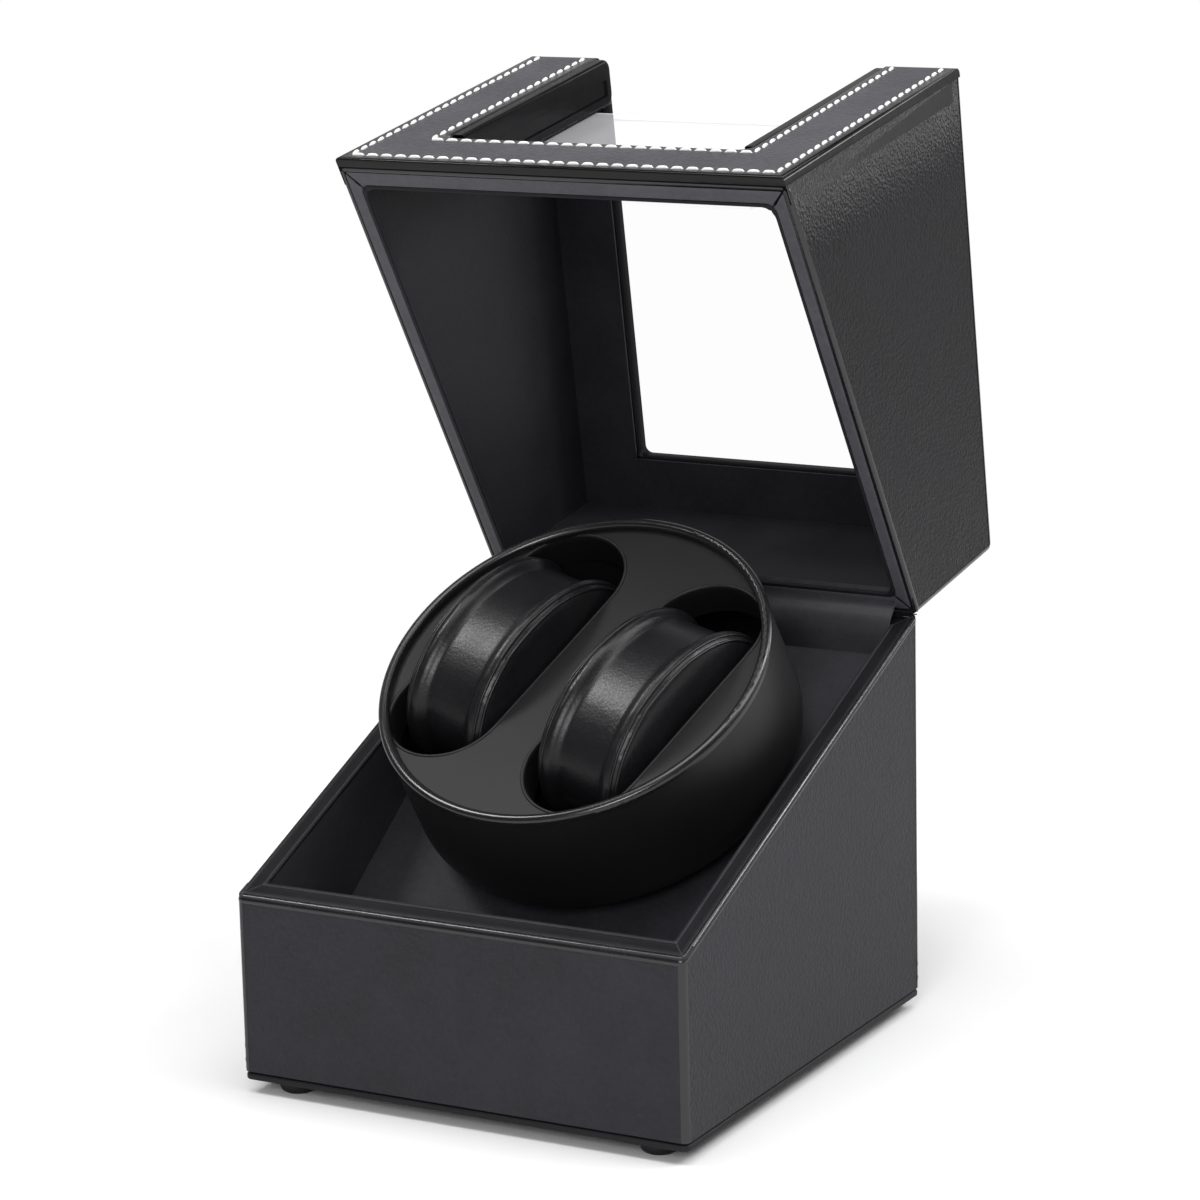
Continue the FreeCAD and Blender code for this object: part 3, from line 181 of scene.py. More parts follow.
def modify(piece, kind, **settings):
    """Adds a modifier and applies it."""
    only(piece)
    modifier = piece.modifiers.new(kind.title(), kind)
    for key, value in settings.items():
        setattr(modifier, key, value)
    bpy.ops.object.modifier_apply(modifier=modifier.name)


# %% [markdown]
# Trim such as the rolled leather on a rim has one section all along its path. The section is
# drawn point by point, as an outline, at each station of the path, and the outlines are bridged.
# Where the path turns, a few stations lie close together, which gives the round of the corner
# and the line of its mitre.

# %% Drawing outlines
def start_mesh():
    """A new mesh with one vertex at the origin, in edit mode."""
    piece = new(bpy.ops.mesh.primitive_plane_add, size=MM)
    edit(piece)
    bpy.ops.mesh.select_mode(type="VERT")
    bpy.ops.mesh.select_all(action="SELECT")
    bpy.ops.mesh.merge(type="CENTER")
    return piece


def outline(points, closed=True):
    """In edit mode, draws a chain of edges from the one selected vertex, at the origin."""
    bpy.ops.mesh.select_mode(type="VERT")
    bpy.ops.transform.translate(value=points[0])
    for here, there in pairwise(points):
        bpy.ops.mesh.extrude_vertices_move(
            TRANSFORM_OT_translate={"value": Vector(there) - Vector(here)})
    if closed:
        mesh = bmesh.from_edit_mesh(bpy.context.object.data)
        mesh.verts.ensure_lookup_table()
        last, first = mesh.verts[-1], mesh.verts[-len(points)]
        bpy.ops.mesh.select_all(action="DESELECT")
        first.select_set(True)
        last.select_set(True)
        bpy.ops.mesh.edge_face_add()


def fill():
    """In edit mode, fills the one outline there is with a face."""
    bpy.ops.mesh.select_all(action="SELECT")
    bpy.ops.mesh.edge_face_add()


def extrude(x=0, y=0, z=0):
    """In edit mode, extrudes what is selected by a vector."""
    bpy.ops.mesh.extrude_region_move(TRANSFORM_OT_translate={"value": (x, y, z)})


def arc(middle, level, radius, turns):
    """Points of an arc about a middle, one for each of its angles in degrees."""
    return [(middle + radius * cos(radians(turn)),
             level + radius * sin(radians(turn))) for turn in turns]


def bridged(stations, closed_path=True):
    """A mesh through closed outlines, one at each station of its path."""
    piece = start_mesh()
    count = len(stations[0])
    for number, points in enumerate(stations):
        if number:
            bpy.ops.mesh.primitive_plane_add(size=MM)
            bpy.ops.mesh.merge(type="CENTER")
        outline(points)

    def take(wanted):
        """Selects the outlines at some stations."""
        choices = [{number} for number in wanted]
        pick("edges", lambda middle, edge: {vert.index // count for vert in edge.verts} in choices)

    last = len(stations) - 1
    for pair in [*pairwise(range(last + 1))] + ([(last, 0)] if closed_path else []):
        take(pair)
        bpy.ops.mesh.bridge_edge_loops()
    for end in () if closed_path else (0, last):
        take([end])
        bpy.ops.mesh.edge_face_add()
    nothing()
    return piece


# %% [markdown]
# ## Finishes
# Each material is one Principled shader. Patterns are worked out with sums on its sockets: the
# class below wraps a socket, so that a line such as `1 - mask * 0.3` adds the Math nodes.

# %% Sums on sockets
class Wire:
    """An output socket that takes part in sums."""

    def __init__(self, nodes_of, socket):
        self.nodes_of = nodes_of
        self.socket = socket

    def join(self, operation, *values):
        return self.nodes_of.node("ShaderNodeMath", {"operation": operation}, *values)

    def __add__(self, other):
        return self.join("ADD", self, other)

    def __sub__(self, other):
        return self.join("SUBTRACT", self, other)

    def __rsub__(self, other):
        return self.join("SUBTRACT", other, self)

    def __mul__(self, other):
        return self.join("MULTIPLY", self, other)

    def or_more(self, other):
        return self.join("MAXIMUM", self, other)

    def above(self, level, width):
        """0 below a level and 1 above it, with a soft step of some width."""
        return self.nodes_of.node("ShaderNodeMapRange", {"interpolation_type": "SMOOTHSTEP"},
                                  self, level - width / 2, level + width / 2, 0.0, 1.0)

    __radd__ = __add__
    __rmul__ = __mul__


class Tree:
    """The nodes of one material or of the world."""

    def __init__(self, tree):
        self.tree = tree

    def node(self, kind, settings, *values, output=0, **named):
        """Adds a node: its settings first, then the values or links of its sockets."""
        node = self.tree.nodes.new(kind)
        for key, value in settings.items():
            setattr(node, key, value)
        sockets = [socket for socket in node.inputs if socket.enabled]
        given = list(zip(sockets, values))
        given += [(node.inputs[key.replace("_", " ")], value) for key, value in named.items()]
        for socket, value in given:
            if isinstance(value, Wire):
                self.tree.links.new(value.socket, socket)
            else:
                socket.default_value = value
        outputs = {socket.name: socket for socket in node.outputs if socket.enabled}
        socket = outputs[output] if isinstance(output, str) else list(outputs.values())[output]
        return Wire(self, socket)

    def vector(self, operation, *values, **settings):
        return self.node("ShaderNodeVectorMath", {"operation": operation}, *values, **settings)

    def ray(self, kind):
        """1 for rays of one kind: Camera, Glossy or Transmission."""
        return self.node("ShaderNodeLightPath", {}, output=f"Is {kind} Ray")

    def seen(self):
        """1 for what the camera sees straight or through the pane, 0 for mirrors and light."""
        return self.ray("Camera").or_more(self.ray("Transmission"))


finishes = {}


class Finish(Tree):
    """A material that is built node by node round one Principled shader."""

    def __init__(self, name, colour, roughness, **constants):
        self.material = finishes[name] = bpy.data.materials.new(name)
        self.material.use_nodes = True
        super().__init__(self.material.node_tree)
        self.shader = self.tree.nodes["Principled BSDF"]
        self.shader.inputs["Base Color"].default_value = (*colour, 1)
        self.shader.inputs["Roughness"].default_value = roughness
        for key, value in constants.items():
            self.shader.inputs[key.replace("_", " ")].default_value = value
        self.place = self.node("ShaderNodeTexCoord", {}, output="Object")

    def noise(self, scale, detail=2.0, roughness=0.5):
        return self.node("ShaderNodeTexNoise", {}, Vector=self.place, Scale=scale, Detail=detail,
                         Roughness=roughness, output="Fac")

    def cells(self, scale):
        """Distance from the middle of the nearest cell, as on grained leather."""
        return self.node("ShaderNodeTexVoronoi", {"feature": "F1"}, Vector=self.place, Scale=scale,
                         output="Distance")

    def blend(self, mask, dark, light):
        return self.node("ShaderNodeMix", {"data_type": "RGBA"}, mask, (*dark, 1), (*light, 1))

    def into(self, **links):
        for key, wire in links.items():
            self.tree.links.new(wire.socket, self.shader.inputs[key.replace("_", " ")])
        return self

    def relief(self, height, depth, strength=1.0):
        """Bumps the surface by a height from 0 to 1, which is worth depth metres."""
        bump = self.node("ShaderNodeBump", {}, Strength=strength, Distance=depth, Height=height)
        return self.into(Normal=bump)

    def surface(self, wire):
        """Ends the material in another shader than the Principled one."""
        self.tree.nodes.remove(self.shader)
        output = self.tree.nodes["Material Output"]
        self.tree.links.new(wire.socket, output.inputs["Surface"])


# %% [markdown]
# The case is covered in a charcoal leather with a fine grain. The grain is three patterns laid
# over each other: small cells for the pebbles, a fine mottle so that they don't look like tiles,
# and a slow cloud that makes the skin uneven, both in its colour and in its gloss. Leather is a
# dull mirror, so its specular level is low. The lid's sides also rise in a soft shoulder behind
# the front edge. The mesh is flat there: a bump worth SHOULDER_DROP over the first SHOULDER of
# the side stands in for that rise, so it shades the side and doesn't change its outline.

# %% Leathers
SHOULDER = 0.034
SHOULDER_DROP = 0.009


def leather(name, dark, light, roughness, grain=900, depth=0.00008, shoulder=False, **constants):
    finish = Finish(name, light, roughness, **constants)
    pebbles = finish.cells(grain)
    cloud = finish.noise(45, 3.0)
    mottle = finish.noise(450, 2.0)
    finish.into(Base_Color=finish.blend((cloud * 0.6 + mottle * 0.4).above(0.5, 0.5), dark, light))
    finish.into(Roughness=cloud * 0.16 + pebbles * 0.08 + (roughness - 0.11))
    skin = pebbles * 0.6 + mottle * 0.5
    if shoulder:
        away = finish.vector("DOT_PRODUCT", finish.vector("SUBTRACT", finish.place, hinge),
                             ON_LID.to_3x3().col[1], output="Value")
        rise = finish.node("ShaderNodeMapRange", {}, away, LID_FRONT, LID_FRONT + SHOULDER,
                           0.0, 1.0)
        finish.relief((2 - rise) * rise + skin * (depth / SHOULDER_DROP), SHOULDER_DROP)
    else:
        finish.relief(skin, depth)


leather("case_leather", (0.022, 0.0215, 0.026), (0.033, 0.0325, 0.040), 0.48, 850, 0.0003,
        Specular_IOR_Level=0.32)
# The lid's leather is the case leather painted about three times darker: painted shade for the lid's sides and
# top, which stand higher above the lit floor.
leather("lid_leather", (0.007, 0.0069, 0.0086), (0.011, 0.0108, 0.0135), 0.37, 850, 0.0003,
        shoulder=True, Specular_IOR_Level=0.2)
leather("frame_leather", (0.044, 0.043, 0.052), (0.076, 0.074, 0.087), 0.45, 700, 0.00025,
        Specular_IOR_Level=0.4)
leather("trim_leather", (0.006, 0.006, 0.007), (0.010, 0.010, 0.012), 0.42, 1300, 0.00004,
        Specular_IOR_Level=0.2)
leather("mouth_leather", (0.074, 0.073, 0.084), (0.104, 0.102, 0.116), 0.42, 1000, 0.00008,
        Specular_IOR_Level=0.35)
leather("piping_leather", (0.008, 0.008, 0.009), (0.012, 0.012, 0.014), 0.22, 1300, 0.00002,
        Specular_IOR_Level=0.9)
leather("strip_leather", (0.032, 0.032, 0.037), (0.050, 0.050, 0.058), 0.42, 1300, 0.00003,
        Specular_IOR_Level=0.4)
leather("cut_leather", (0.10, 0.10, 0.105), (0.14, 0.14, 0.15), 0.6, 1300, 0.00003)
leather("lining_leather", (0.013, 0.013, 0.0155), (0.020, 0.020, 0.024), 0.5, 1300, 0.00003,
        Specular_IOR_Level=0.2)
# One lining leather in two tones: inside the base it is painted about two and a half times lighter, as painted
# light for the shaded well, and the lid keeps the darker lining leather, as painted shade.
leather("well_leather", (0.034, 0.034, 0.040), (0.050, 0.050, 0.058), 0.5, 1300, 0.00003,
        Specular_IOR_Level=0.22)
# The deck's leather is a little lighter than the case leather: partly its own tone, partly painted light for the
# deep, shaded floor of the base.
leather("deck_leather", (0.024, 0.024, 0.029), (0.038, 0.038, 0.045), 0.5, 900, 0.00008,
        Specular_IOR_Level=0.25)
leather("cushion_leather", (0.006, 0.006, 0.007), (0.010, 0.010, 0.012), 0.33, 1000, 0.00005,
        Specular_IOR_Level=0.5)
print("leathers made")

# %% [markdown]
# The drum is moulded in a soft-touch black plastic. The edge of the stitched frame is sealed
# with glossy black paint, which wrinkles a little as it dries. The window is clear plastic: it
# lets light through and mirrors a little of it where it is seen at a slant, and there a faint
# haze shows too. Inside the sheet the Fresnel share would rise to one, so it counts on front
# faces only. The metals have no colour but that of what they mirror, tinted.

# %% Plastics, paint, rubber and metals
def plain(name, colour, roughness, grain=0.0, depth=0.00002, **constants):
    """A finish of one colour, uneven in gloss, with a fine tooth where grain is given."""
    finish = Finish(name, colour, roughness, **constants)
    unevenness = finish.noise(60, 2.0)
    finish.into(Roughness=unevenness * 0.08 + (roughness - 0.04))
    if grain:
        finish.relief(finish.noise(grain, 1.0), depth)


plain("drum_plastic", (0.008, 0.008, 0.009), 0.42, 2500)
plain("rim_plastic", (0.010, 0.010, 0.011), 0.24, Specular_IOR_Level=0.8)
plain("face_plastic", (0.012, 0.012, 0.013), 0.44, 3000, Specular_IOR_Level=0.35)
plain("edge_paint", (0.003, 0.003, 0.003), 0.18, 160, 0.00012, Specular_IOR_Level=0.4)
plain("window_black", (0.003, 0.003, 0.004), 0.4, 1500, Specular_IOR_Level=0.05)
plain("cheek_black", (0.002, 0.002, 0.003), 0.25, 90, 0.0002, Specular_IOR_Level=0.1)
plain("thread", (0.86, 0.85, 0.83), 0.7, 5000, 0.00005)
plain("foot_rubber", (0.008, 0.008, 0.008), 0.5, 1200)
plain("board_paint", (0.014, 0.014, 0.016), 0.5, 900, Specular_IOR_Level=0.3)
plain("screw_steel", (0.55, 0.55, 0.56), 0.3, Metallic=1.0)
plain("shaft_steel", (0.6, 0.6, 0.61), 0.25, Metallic=1.0)
plain("hinge_steel", (0.08, 0.08, 0.085), 0.35, Metallic=1.0)
plain("bush_brass", (0.62, 0.44, 0.17), 0.3, Metallic=1.0)
plain("gear_nylon", (0.72, 0.71, 0.66), 0.45, 1500)
plain("pad_foam", (0.006, 0.006, 0.006), 0.9, 2500, 0.0002)
plain("board_green", (0.012, 0.09, 0.04), 0.35, 900)
plain("switch_plastic", (0.01, 0.01, 0.01), 0.3, 2000)
plain("nut_chrome", (0.75, 0.75, 0.76), 0.2, Metallic=1.0)

PANE_INDEX = 1.5
PANE_HAZE = 0.8
PANE_STRAIGHT, PANE_STRENGTH = 0.05, 1.7


def clear_pane():
    finish = Finish("clear_pane", (0.9, 0.9, 0.9), 0.03)
    mirror = finish.node("ShaderNodeBsdfGlossy", {}, Color=(1, 1, 1, 1), Roughness=0.02)
    through = finish.node("ShaderNodeBsdfTransparent", {}, Color=(0.99, 0.99, 0.995, 1))
    haze = finish.node("ShaderNodeBsdfDiffuse", {}, Color=(0.9, 0.9, 0.92, 1))
    veil = finish.node("ShaderNodeMixShader", {}, PANE_HAZE, mirror, haze)
    fresnel = finish.node("ShaderNodeFresnel", {}, IOR=PANE_INDEX)
    share = (fresnel - PANE_STRAIGHT).or_more(0.0) * PANE_STRENGTH
    front = 1 - finish.node("ShaderNodeNewGeometry", {}, output="Backfacing")
    finish.surface(finish.node("ShaderNodeMixShader", {}, share * front, through, veil))


clear_pane()
print(len(finishes), "finishes made")

# %% [markdown]
# Each piece of the record names a slot, the sort of material that it is made of. The CAD pieces
# that need no new form get a finish by that name. Some pieces take other finishes than their
# slot's, given one by one: the lid's boards get the case leather painted darker, as painted shade,
# and the base's lining gets the lining leather painted lighter, as painted light.

# %% Finishes of the CAD pieces
SLOT_FINISH = {"board_wood": "board_paint", "pane_clear": "clear_pane"}


def dress(piece, slot, *names):
    """Gives a piece its finishes, else the one that its slot of the record is called by."""
    piece.data.materials.clear()
    for name in names or (SLOT_FINISH.get(slot, slot),):
        piece.data.materials.append(finishes[name])
    return piece


for part in frame["record"]["subparts"]:
    dress(nodes[part["node"]], part["material_slot"])
# The lid's boards: case leather painted darker, as painted shade. The base's lining: lining leather painted
# lighter, as painted light.
for name in ("lid_left", "lid_right", "lid_top", "lid_back"):
    dress(nodes[name], "case_leather", "lid_leather")
dress(nodes["base_lining"], "lining_leather", "well_leather")
print("CAD pieces dressed")

# %% [markdown]
# ## The rims
# The leather of the case is turned over the top edge of the boards: a thin rolled edge outside,
# a flat strip over the board, and inside it the folded edge of the lining. The strips meet in
# mitres. Each trim is one section, given as distance in from the outside of the case and height
# over the board, that runs round the mouth. The mouth slopes down to the front.

# %% Paths round the case
HALF_WIDTH = 82.5 * MM
HALF_DEPTH = 87 * MM
SIDE_BOARD = 6
CASE_ROUND = 2
CORNERS = ((-1, -1), (1, -1), (1, 1), (-1, 1))
TURNS = (0, 20, 38, 45, 52, 70, 90)
MITRE_HALF = 0.3
MITRE_DEPTH = 0.28


def ring(section, level, low, high, up=1, inner_round=0.4, shares=(1.0, 1.0), mitred=True):
    """Bridges a section round the case, from low to high in Y and at the height level(y)."""
    stations = []
    for side, end in CORNERS:
        share = shares[0] if end < 0 else shares[1]
        turns = TURNS if side == end else TURNS[::-1]
        for turn in turns:
            points = []
            for inward, lift in section:
                bend = max(CASE_ROUND - inward, inner_round * inward / SIDE_BOARD, 0.05)
                across = inward + bend * (1 - cos(radians(turn)))
                along = inward + bend * (1 - sin(radians(turn)))
                across += MITRE_HALF if turn > 45 else 0
                along += MITRE_HALF if turn < 45 else 0
                dip = MITRE_DEPTH if mitred and turn == 45 and lift > -0.6 else 0
                x = side * (HALF_WIDTH - across * MM)
                y = (low if end < 0 else high) - end * along * share * MM
                points.append((x, y, level(y) + up * (lift - dip) * MM))
            stations.append(points)
    return bridged(stations)


# %% [markdown]
# The roll, the strip and the folded edge of the lining are three sections on the same path, so
# each can have a leather of its own.

# %% Rim strips
END_SHARE = 6.5 / SIDE_BOARD
MOUTH_SLOPE = (140 - 67.8) / 174
RIM_GAP = 0.2 * MM
ROLL = [(0.5, -3.0), (0.15, -2.9), (0.0, -2.3), (-0.2, -1.95), (-0.3, -1.5), (-0.26, -1.0),
        (-0.08, -0.5), (0.22, -0.14), (0.62, 0.07), (1.1, 0.12), (1.5, 0.03), (1.65, -0.3),
        (1.65, -0.8)]
STRIP = [(1.5, -0.6), (1.6, -0.12), (1.8, 0.02), (3.2, 0.06), (5.0, 0.03), (5.35, 0.11),
         (5.65, 0.11), (5.88, -0.1), (5.96, -0.5), (5.6, -1.0)]
LINING_EDGE = [(6.1, -1.2), (6.08, -0.3), (6.25, 0.02), (6.6, 0.12), (6.95, 0.0), (7.14, -0.3),
               (7.14, -1.0), (6.8, -1.3)]


def base_level(y):
    return hinge.z + MOUTH_SLOPE * (y - HALF_DEPTH) - RIM_GAP


for name, section, finish, slot in (
        ("base_rim_roll", ROLL, "piping_leather", "case_leather"),
        ("base_rim_strip", STRIP, "trim_leather", "case_leather"),
        ("base_lining_edge", LINING_EDGE, "lining_leather", "lining_leather")):
    trim = ring(section, base_level, -HALF_DEPTH, HALF_DEPTH, shares=(END_SHARE, END_SHARE))
    done(trim, name, "base", smooth=60)
    dress(trim, slot, finish)

# %% [markdown]
# The lid's mouth has the same trim upside down. Its front board is thicker, and the inner
# corners are rounder, because the lining is folded round them.

# %% Rim strips of the lid
FRAME_DEPTH = 3.5 * MM
FRONT_SHARE = 7 / SIDE_BOARD
LID_INNER_ROUND = 3.0


def lid_level(y):
    return MOUTH_SLOPE * y + RIM_GAP


for name, section, finish, slot in (
        ("lid_rim_roll", ROLL, "piping_leather", "case_leather"),
        ("lid_rim_strip", STRIP, "mouth_leather", "case_leather"),
        ("lid_lining_edge", LINING_EDGE, "lining_leather", "lining_leather")):
    trim = ring(section, lid_level, LID_FRONT + FRAME_DEPTH, 0, -1, LID_INNER_ROUND,
                (FRONT_SHARE, END_SHARE))
    done(trim, name, "lid", ON_LID, smooth=60)
    dress(trim, slot, finish)

# %% [markdown]
# ## The foot of the case
# The bottom board stands out a little under a shadow groove. Its edge is a thin rounded strip,
# so the CAD board is replaced by one with bevelled edges.

# %% Bottom board
BOARD_ROUND = 2.4 * MM
EDGE_ROUND = 0.75 * MM
GROOVE = 1.0 * MM
GROOVE_HIGH = 0.6 * MM


def bottom_board():
    low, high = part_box("bottom_board")
    top = high.z - GROOVE_HIGH
    board = new(bpy.ops.mesh.primitive_cube_add, size=1, location=(0, 0, (low.z + top) / 2))
    board.scale = (high.x - low.x, high.y - low.y, top - low.z)
    bpy.ops.object.transform_apply(location=True, rotation=True, scale=True)
    edit(board)
    pick("edges", lambda middle, edge: abs(middle.z - (low.z + top) / 2) < EDGE_ROUND)
    bpy.ops.mesh.bevel(offset=BOARD_ROUND, segments=6)
    pick("faces", lambda middle, face: abs(face.normal.z) > 0.9)
    bpy.ops.mesh.bevel(offset=EDGE_ROUND, segments=4)
    pick("faces", lambda middle, face: face.normal.z > 0.99)
    bpy.ops.mesh.inset(thickness=GROOVE - EDGE_ROUND + 0.2 * MM)
    extrude(z=GROOVE_HIGH)
    done(board, "bottom_board_cover", "base")
    dress(board, "board_wood")
    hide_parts("bottom_board")


bottom_board()

# %% [markdown]
# ## The upright corners
# At each corner of the base the leather meets in a narrow satin bead, with a few small lumps
# near the foot where it was glued down. A bead is a part of a circle, bridged from the foot to
# the rim.

# %% Corner beads
BEAD_OUT = 2.1
BEAD_IN = 1.5
BEAD_STEPS = ((7.5, -0.05), (8.3, 0.0), (10.2, 0.0), (11.2, 0.14), (12.2, 0.0), (15.0, 0.0),
              (16.1, 0.12), (17.4, 0.0))
BEAD_TOP = 2.2 * MM


def bead_section(swell=0.0):
    """Points round a bead's section, as two distances from its middle."""
    places = [(BEAD_OUT + swell, turn) for turn in range(-5, 96, 20)]
    places += [(BEAD_IN, turn) for turn in (90, 45, 0)]
    return [(reach * cos(radians(turn)) * MM, reach * sin(radians(turn)) * MM)
            for reach, turn in places]


def corner_bead(name, side, end):
    middle_x = side * (HALF_WIDTH - CASE_ROUND * MM)
    middle_y = end * (HALF_DEPTH - CASE_ROUND * MM)
    top = base_level(middle_y) - BEAD_TOP
    steps = [(height * MM, swell) for height, swell in BEAD_STEPS] + [(top, 0.0)]
    bead = bridged([[(middle_x + side * out, middle_y + end * along, height)
                     for out, along in bead_section(swell)] for height, swell in steps],
                   closed_path=False)
    done(bead, name, "base", smooth=50)
    dress(bead, "case_leather", "piping_leather")


for end_name, end in (("front", -1), ("back", 1)):
    for side_name, side in SIDES:
        corner_bead(f"corner_bead_{end_name}_{side_name}", side, end)

# %% [markdown]
# The lid has such a bead along the upper edge of each side, which turns round the corner and
# runs down the back. It takes the same section, and the section leans with the edge that it
# follows.

# %% Edge beads of the lid
LID_TOP = 64.8 * MM
LID_CORNER = 3.0 * MM
LID_BEAD_START = 3.6 * MM
LID_BEAD_FOOT = 1.5 * MM


def lid_bead(name, side):
    """A bead along the upper edge of a side of the lid, round the corner and down its back."""
    inset = CASE_ROUND * MM
    bend = LID_CORNER - inset
    steps = [(LID_FRONT + LID_BEAD_START, LID_TOP - inset, 0)]
    for turn in (0, 30, 60, 90):
        way = radians(turn)
        steps.append((-LID_CORNER + bend * sin(way),
                      LID_TOP - LID_CORNER + bend * cos(way), way))
    steps.append((-inset, LID_BEAD_FOOT, pi / 2))
    bead = bridged([[(side * (HALF_WIDTH - inset + out),
                      y + lift * sin(way), z + lift * cos(way))
                     for out, lift in bead_section()] for y, z, way in steps], closed_path=False)
    done(bead, name, "lid", ON_LID, smooth=50)
    dress(bead, "case_leather", "piping_leather")


for side_name, side in SIDES:
    lid_bead(f"lid_bead_{side_name}", side)

# %% [markdown]
# ## The stitched front frame
# The front of the lid is a slab of board under leather, in the shape of a U. Its face is
# grained, its edges are rolled and painted glossy black, and two rows of light thread run round
# it.

# %% The slab
FRAME_INNER = 56 * MM
NOTCH_LOW = -42.9 * MM
NOTCH_ROUND = 4 * MM
END_ROUND = 2.6 * MM
EDGE_ROLL = 1.45 * MM
PAINT_LAP = 1.5 * MM
frame_low = LID_FRONT * MOUTH_SLOPE + RIM_GAP
corner = arc(FRAME_INNER - NOTCH_ROUND, NOTCH_LOW + NOTCH_ROUND, NOTCH_ROUND, range(0, -91, -15))
half = [(HALF_WIDTH, frame_low), (HALF_WIDTH, LID_TOP), (FRAME_INNER, LID_TOP), *corner]
around = half + [(-x, z) for x, z in reversed(half)]

slab = start_mesh()
outline([(x, LID_FRONT + FRAME_DEPTH, z) for x, z in around])
fill()
extrude(y=-FRAME_DEPTH)
pick("verts", lambda middle, vert: middle.y > LID_FRONT + MM and middle.z < frame_low + MM)
bpy.ops.transform.translate(value=(0, 0, MOUTH_SLOPE * FRAME_DEPTH))
pick("edges", lambda middle, edge: abs(middle.y - LID_FRONT) < NEAR
     and middle.z > LID_TOP - NEAR)
bpy.ops.mesh.bevel(offset=END_ROUND, segments=5, profile=0.5)
pick("edges", lambda middle, edge: len(edge.link_faces) == 2
     and all(abs(vert.co.y - LID_FRONT) < NEAR for vert in edge.verts)
     and edge.calc_face_angle(0) > 1)
bpy.ops.mesh.bevel(offset=EDGE_ROLL, segments=5, profile=0.5)
pick("faces", lambda middle, face: face.normal.y < -0.99 and face.calc_area() > 0.001)
bpy.ops.mesh.inset(thickness=PAINT_LAP)
nothing()
dress(slab, "frame_leather", "frame_leather", "edge_paint")
widest = max(face.area for face in slab.data.polygons if face.normal.y < -0.99)
for face in slab.data.polygons:
    face.material_index = 0 if face.normal.y < -0.99 and face.area == widest else 1
done(slab, "front_frame_cover", "lid", ON_LID)
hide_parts("front_frame")

# %% [markdown]
# The thread is modelled once as one arched stitch with pointed ends, and copied along the rows.
# It lies nearly flat on its lower side and bulges on the upper one, as a slanted stitch does.

# %% Stitches
STITCH_PITCH = 5.4 * MM
STITCH_HALF = 2.35 * MM
STITCH_SLANT = radians(7)
STITCH_THICK = (0.8 * MM, 0.75 * MM)
TIP_FROM = 0.75 * STITCH_HALF
TIP_DROP = (-0.22 * MM, -0.3 * MM)
FLAT_FROM = -0.3 * MM
FLAT_LIFT = 0.14 * MM
THREAD_OUT = 0.05 * MM
ROW_IN = 4.2 * MM
NOTCH_ROW_IN = 4.0 * MM
ROW_END = 3.4 * MM


def row_places(corners, pitch):
    """Points and directions at an even pitch along a broken line."""
    places = []
    for here, there in pairwise([Vector(corner) for corner in corners]):
        length = (there - here).length
        count = max(1, round(length / pitch))
        ahead = (there - here) / count
        for number in range(count):
            places.append((here + ahead * (number + 0.5), ahead.normalized()))
    return places


def stitch():
    """One stitch along X, lying on the plane Z = 0."""
    bead = new(bpy.ops.mesh.primitive_uv_sphere_add, segments=8, ring_count=10, radius=1)
    edit(bead)
    bpy.ops.mesh.select_all(action="SELECT")
    bpy.ops.transform.rotate(value=radians(90), orient_axis="Y", center_override=(0, 0, 0))
    bpy.ops.transform.resize(value=(STITCH_HALF, *STITCH_THICK))
    pick("verts", lambda middle, vert: abs(middle.x) > TIP_FROM)
    bpy.ops.transform.translate(value=(0, *TIP_DROP))
    pick("verts", lambda middle, vert: middle.y < FLAT_FROM)
    bpy.ops.transform.translate(value=(0, FLAT_LIFT, 0))
    nothing()
    return bead


def sew(name, rows, body, place):
    """Copies of one stitch along rows that lie on a plane across Y, joined to one piece."""
    first = stitch()
    out = Vector((0, -1, 0))
    copies = []
    for start, ahead in rows:
        copy = duplicate(first)
        turn = Matrix((ahead, out.cross(ahead), out)).transposed().to_4x4()
        copy.matrix_world = (Matrix.Translation(start) @ turn
                             @ Matrix.Rotation(STITCH_SLANT, 4, "Z"))
        copies.append(copy)
    bpy.data.objects.remove(first)
    nothing()
    for copy in copies:
        copy.select_set(True)
    bpy.context.view_layer.objects.active = copies[0]
    bpy.ops.object.join()
    return done(copies[0], name, body, place, smooth=60, tidy=False)


row_y, row_top = LID_FRONT - THREAD_OUT, LID_TOP - ROW_END
rows = []
for x, z in ((HALF_WIDTH - ROW_IN, frame_low + ROW_IN),
             (FRAME_INNER + NOTCH_ROW_IN, NOTCH_LOW - NOTCH_ROW_IN)):
    rows += row_places([(-x, row_y, row_top), (-x, row_y, z), (x, row_y, z), (x, row_y, row_top)],
                       STITCH_PITCH)
stitches = sew("frame_stitches", rows, "lid", ON_LID)
dress(stitches, "frame_leather", "thread")

# %% [markdown]
# ## Round the window
# Inside the arms of the frame, a glossy black cheek covers the edges of the boards down to the
# pane. It is drawn in side view with a round end, pulled inwards, rolled at its rim and pressed
# in at its middle.

# %% Cheeks of the notch
CHEEK_FACE = 52.2 * MM
CHEEK_ROUND = 4 * MM
CHEEK_BACK = -157.2 * MM
CHEEK_ROLL = 1.1 * MM
CHEEK_IN = (0.3 * MM, 0.05 * MM)
PANEL_INSET = 2.4 * MM
PANEL_SHARE = 0.62
PANEL_DEPTH = 0.65 * MM
PANEL_SLOPE = 0.5 * MM
PANEL_LEAST = 100 * MM * MM


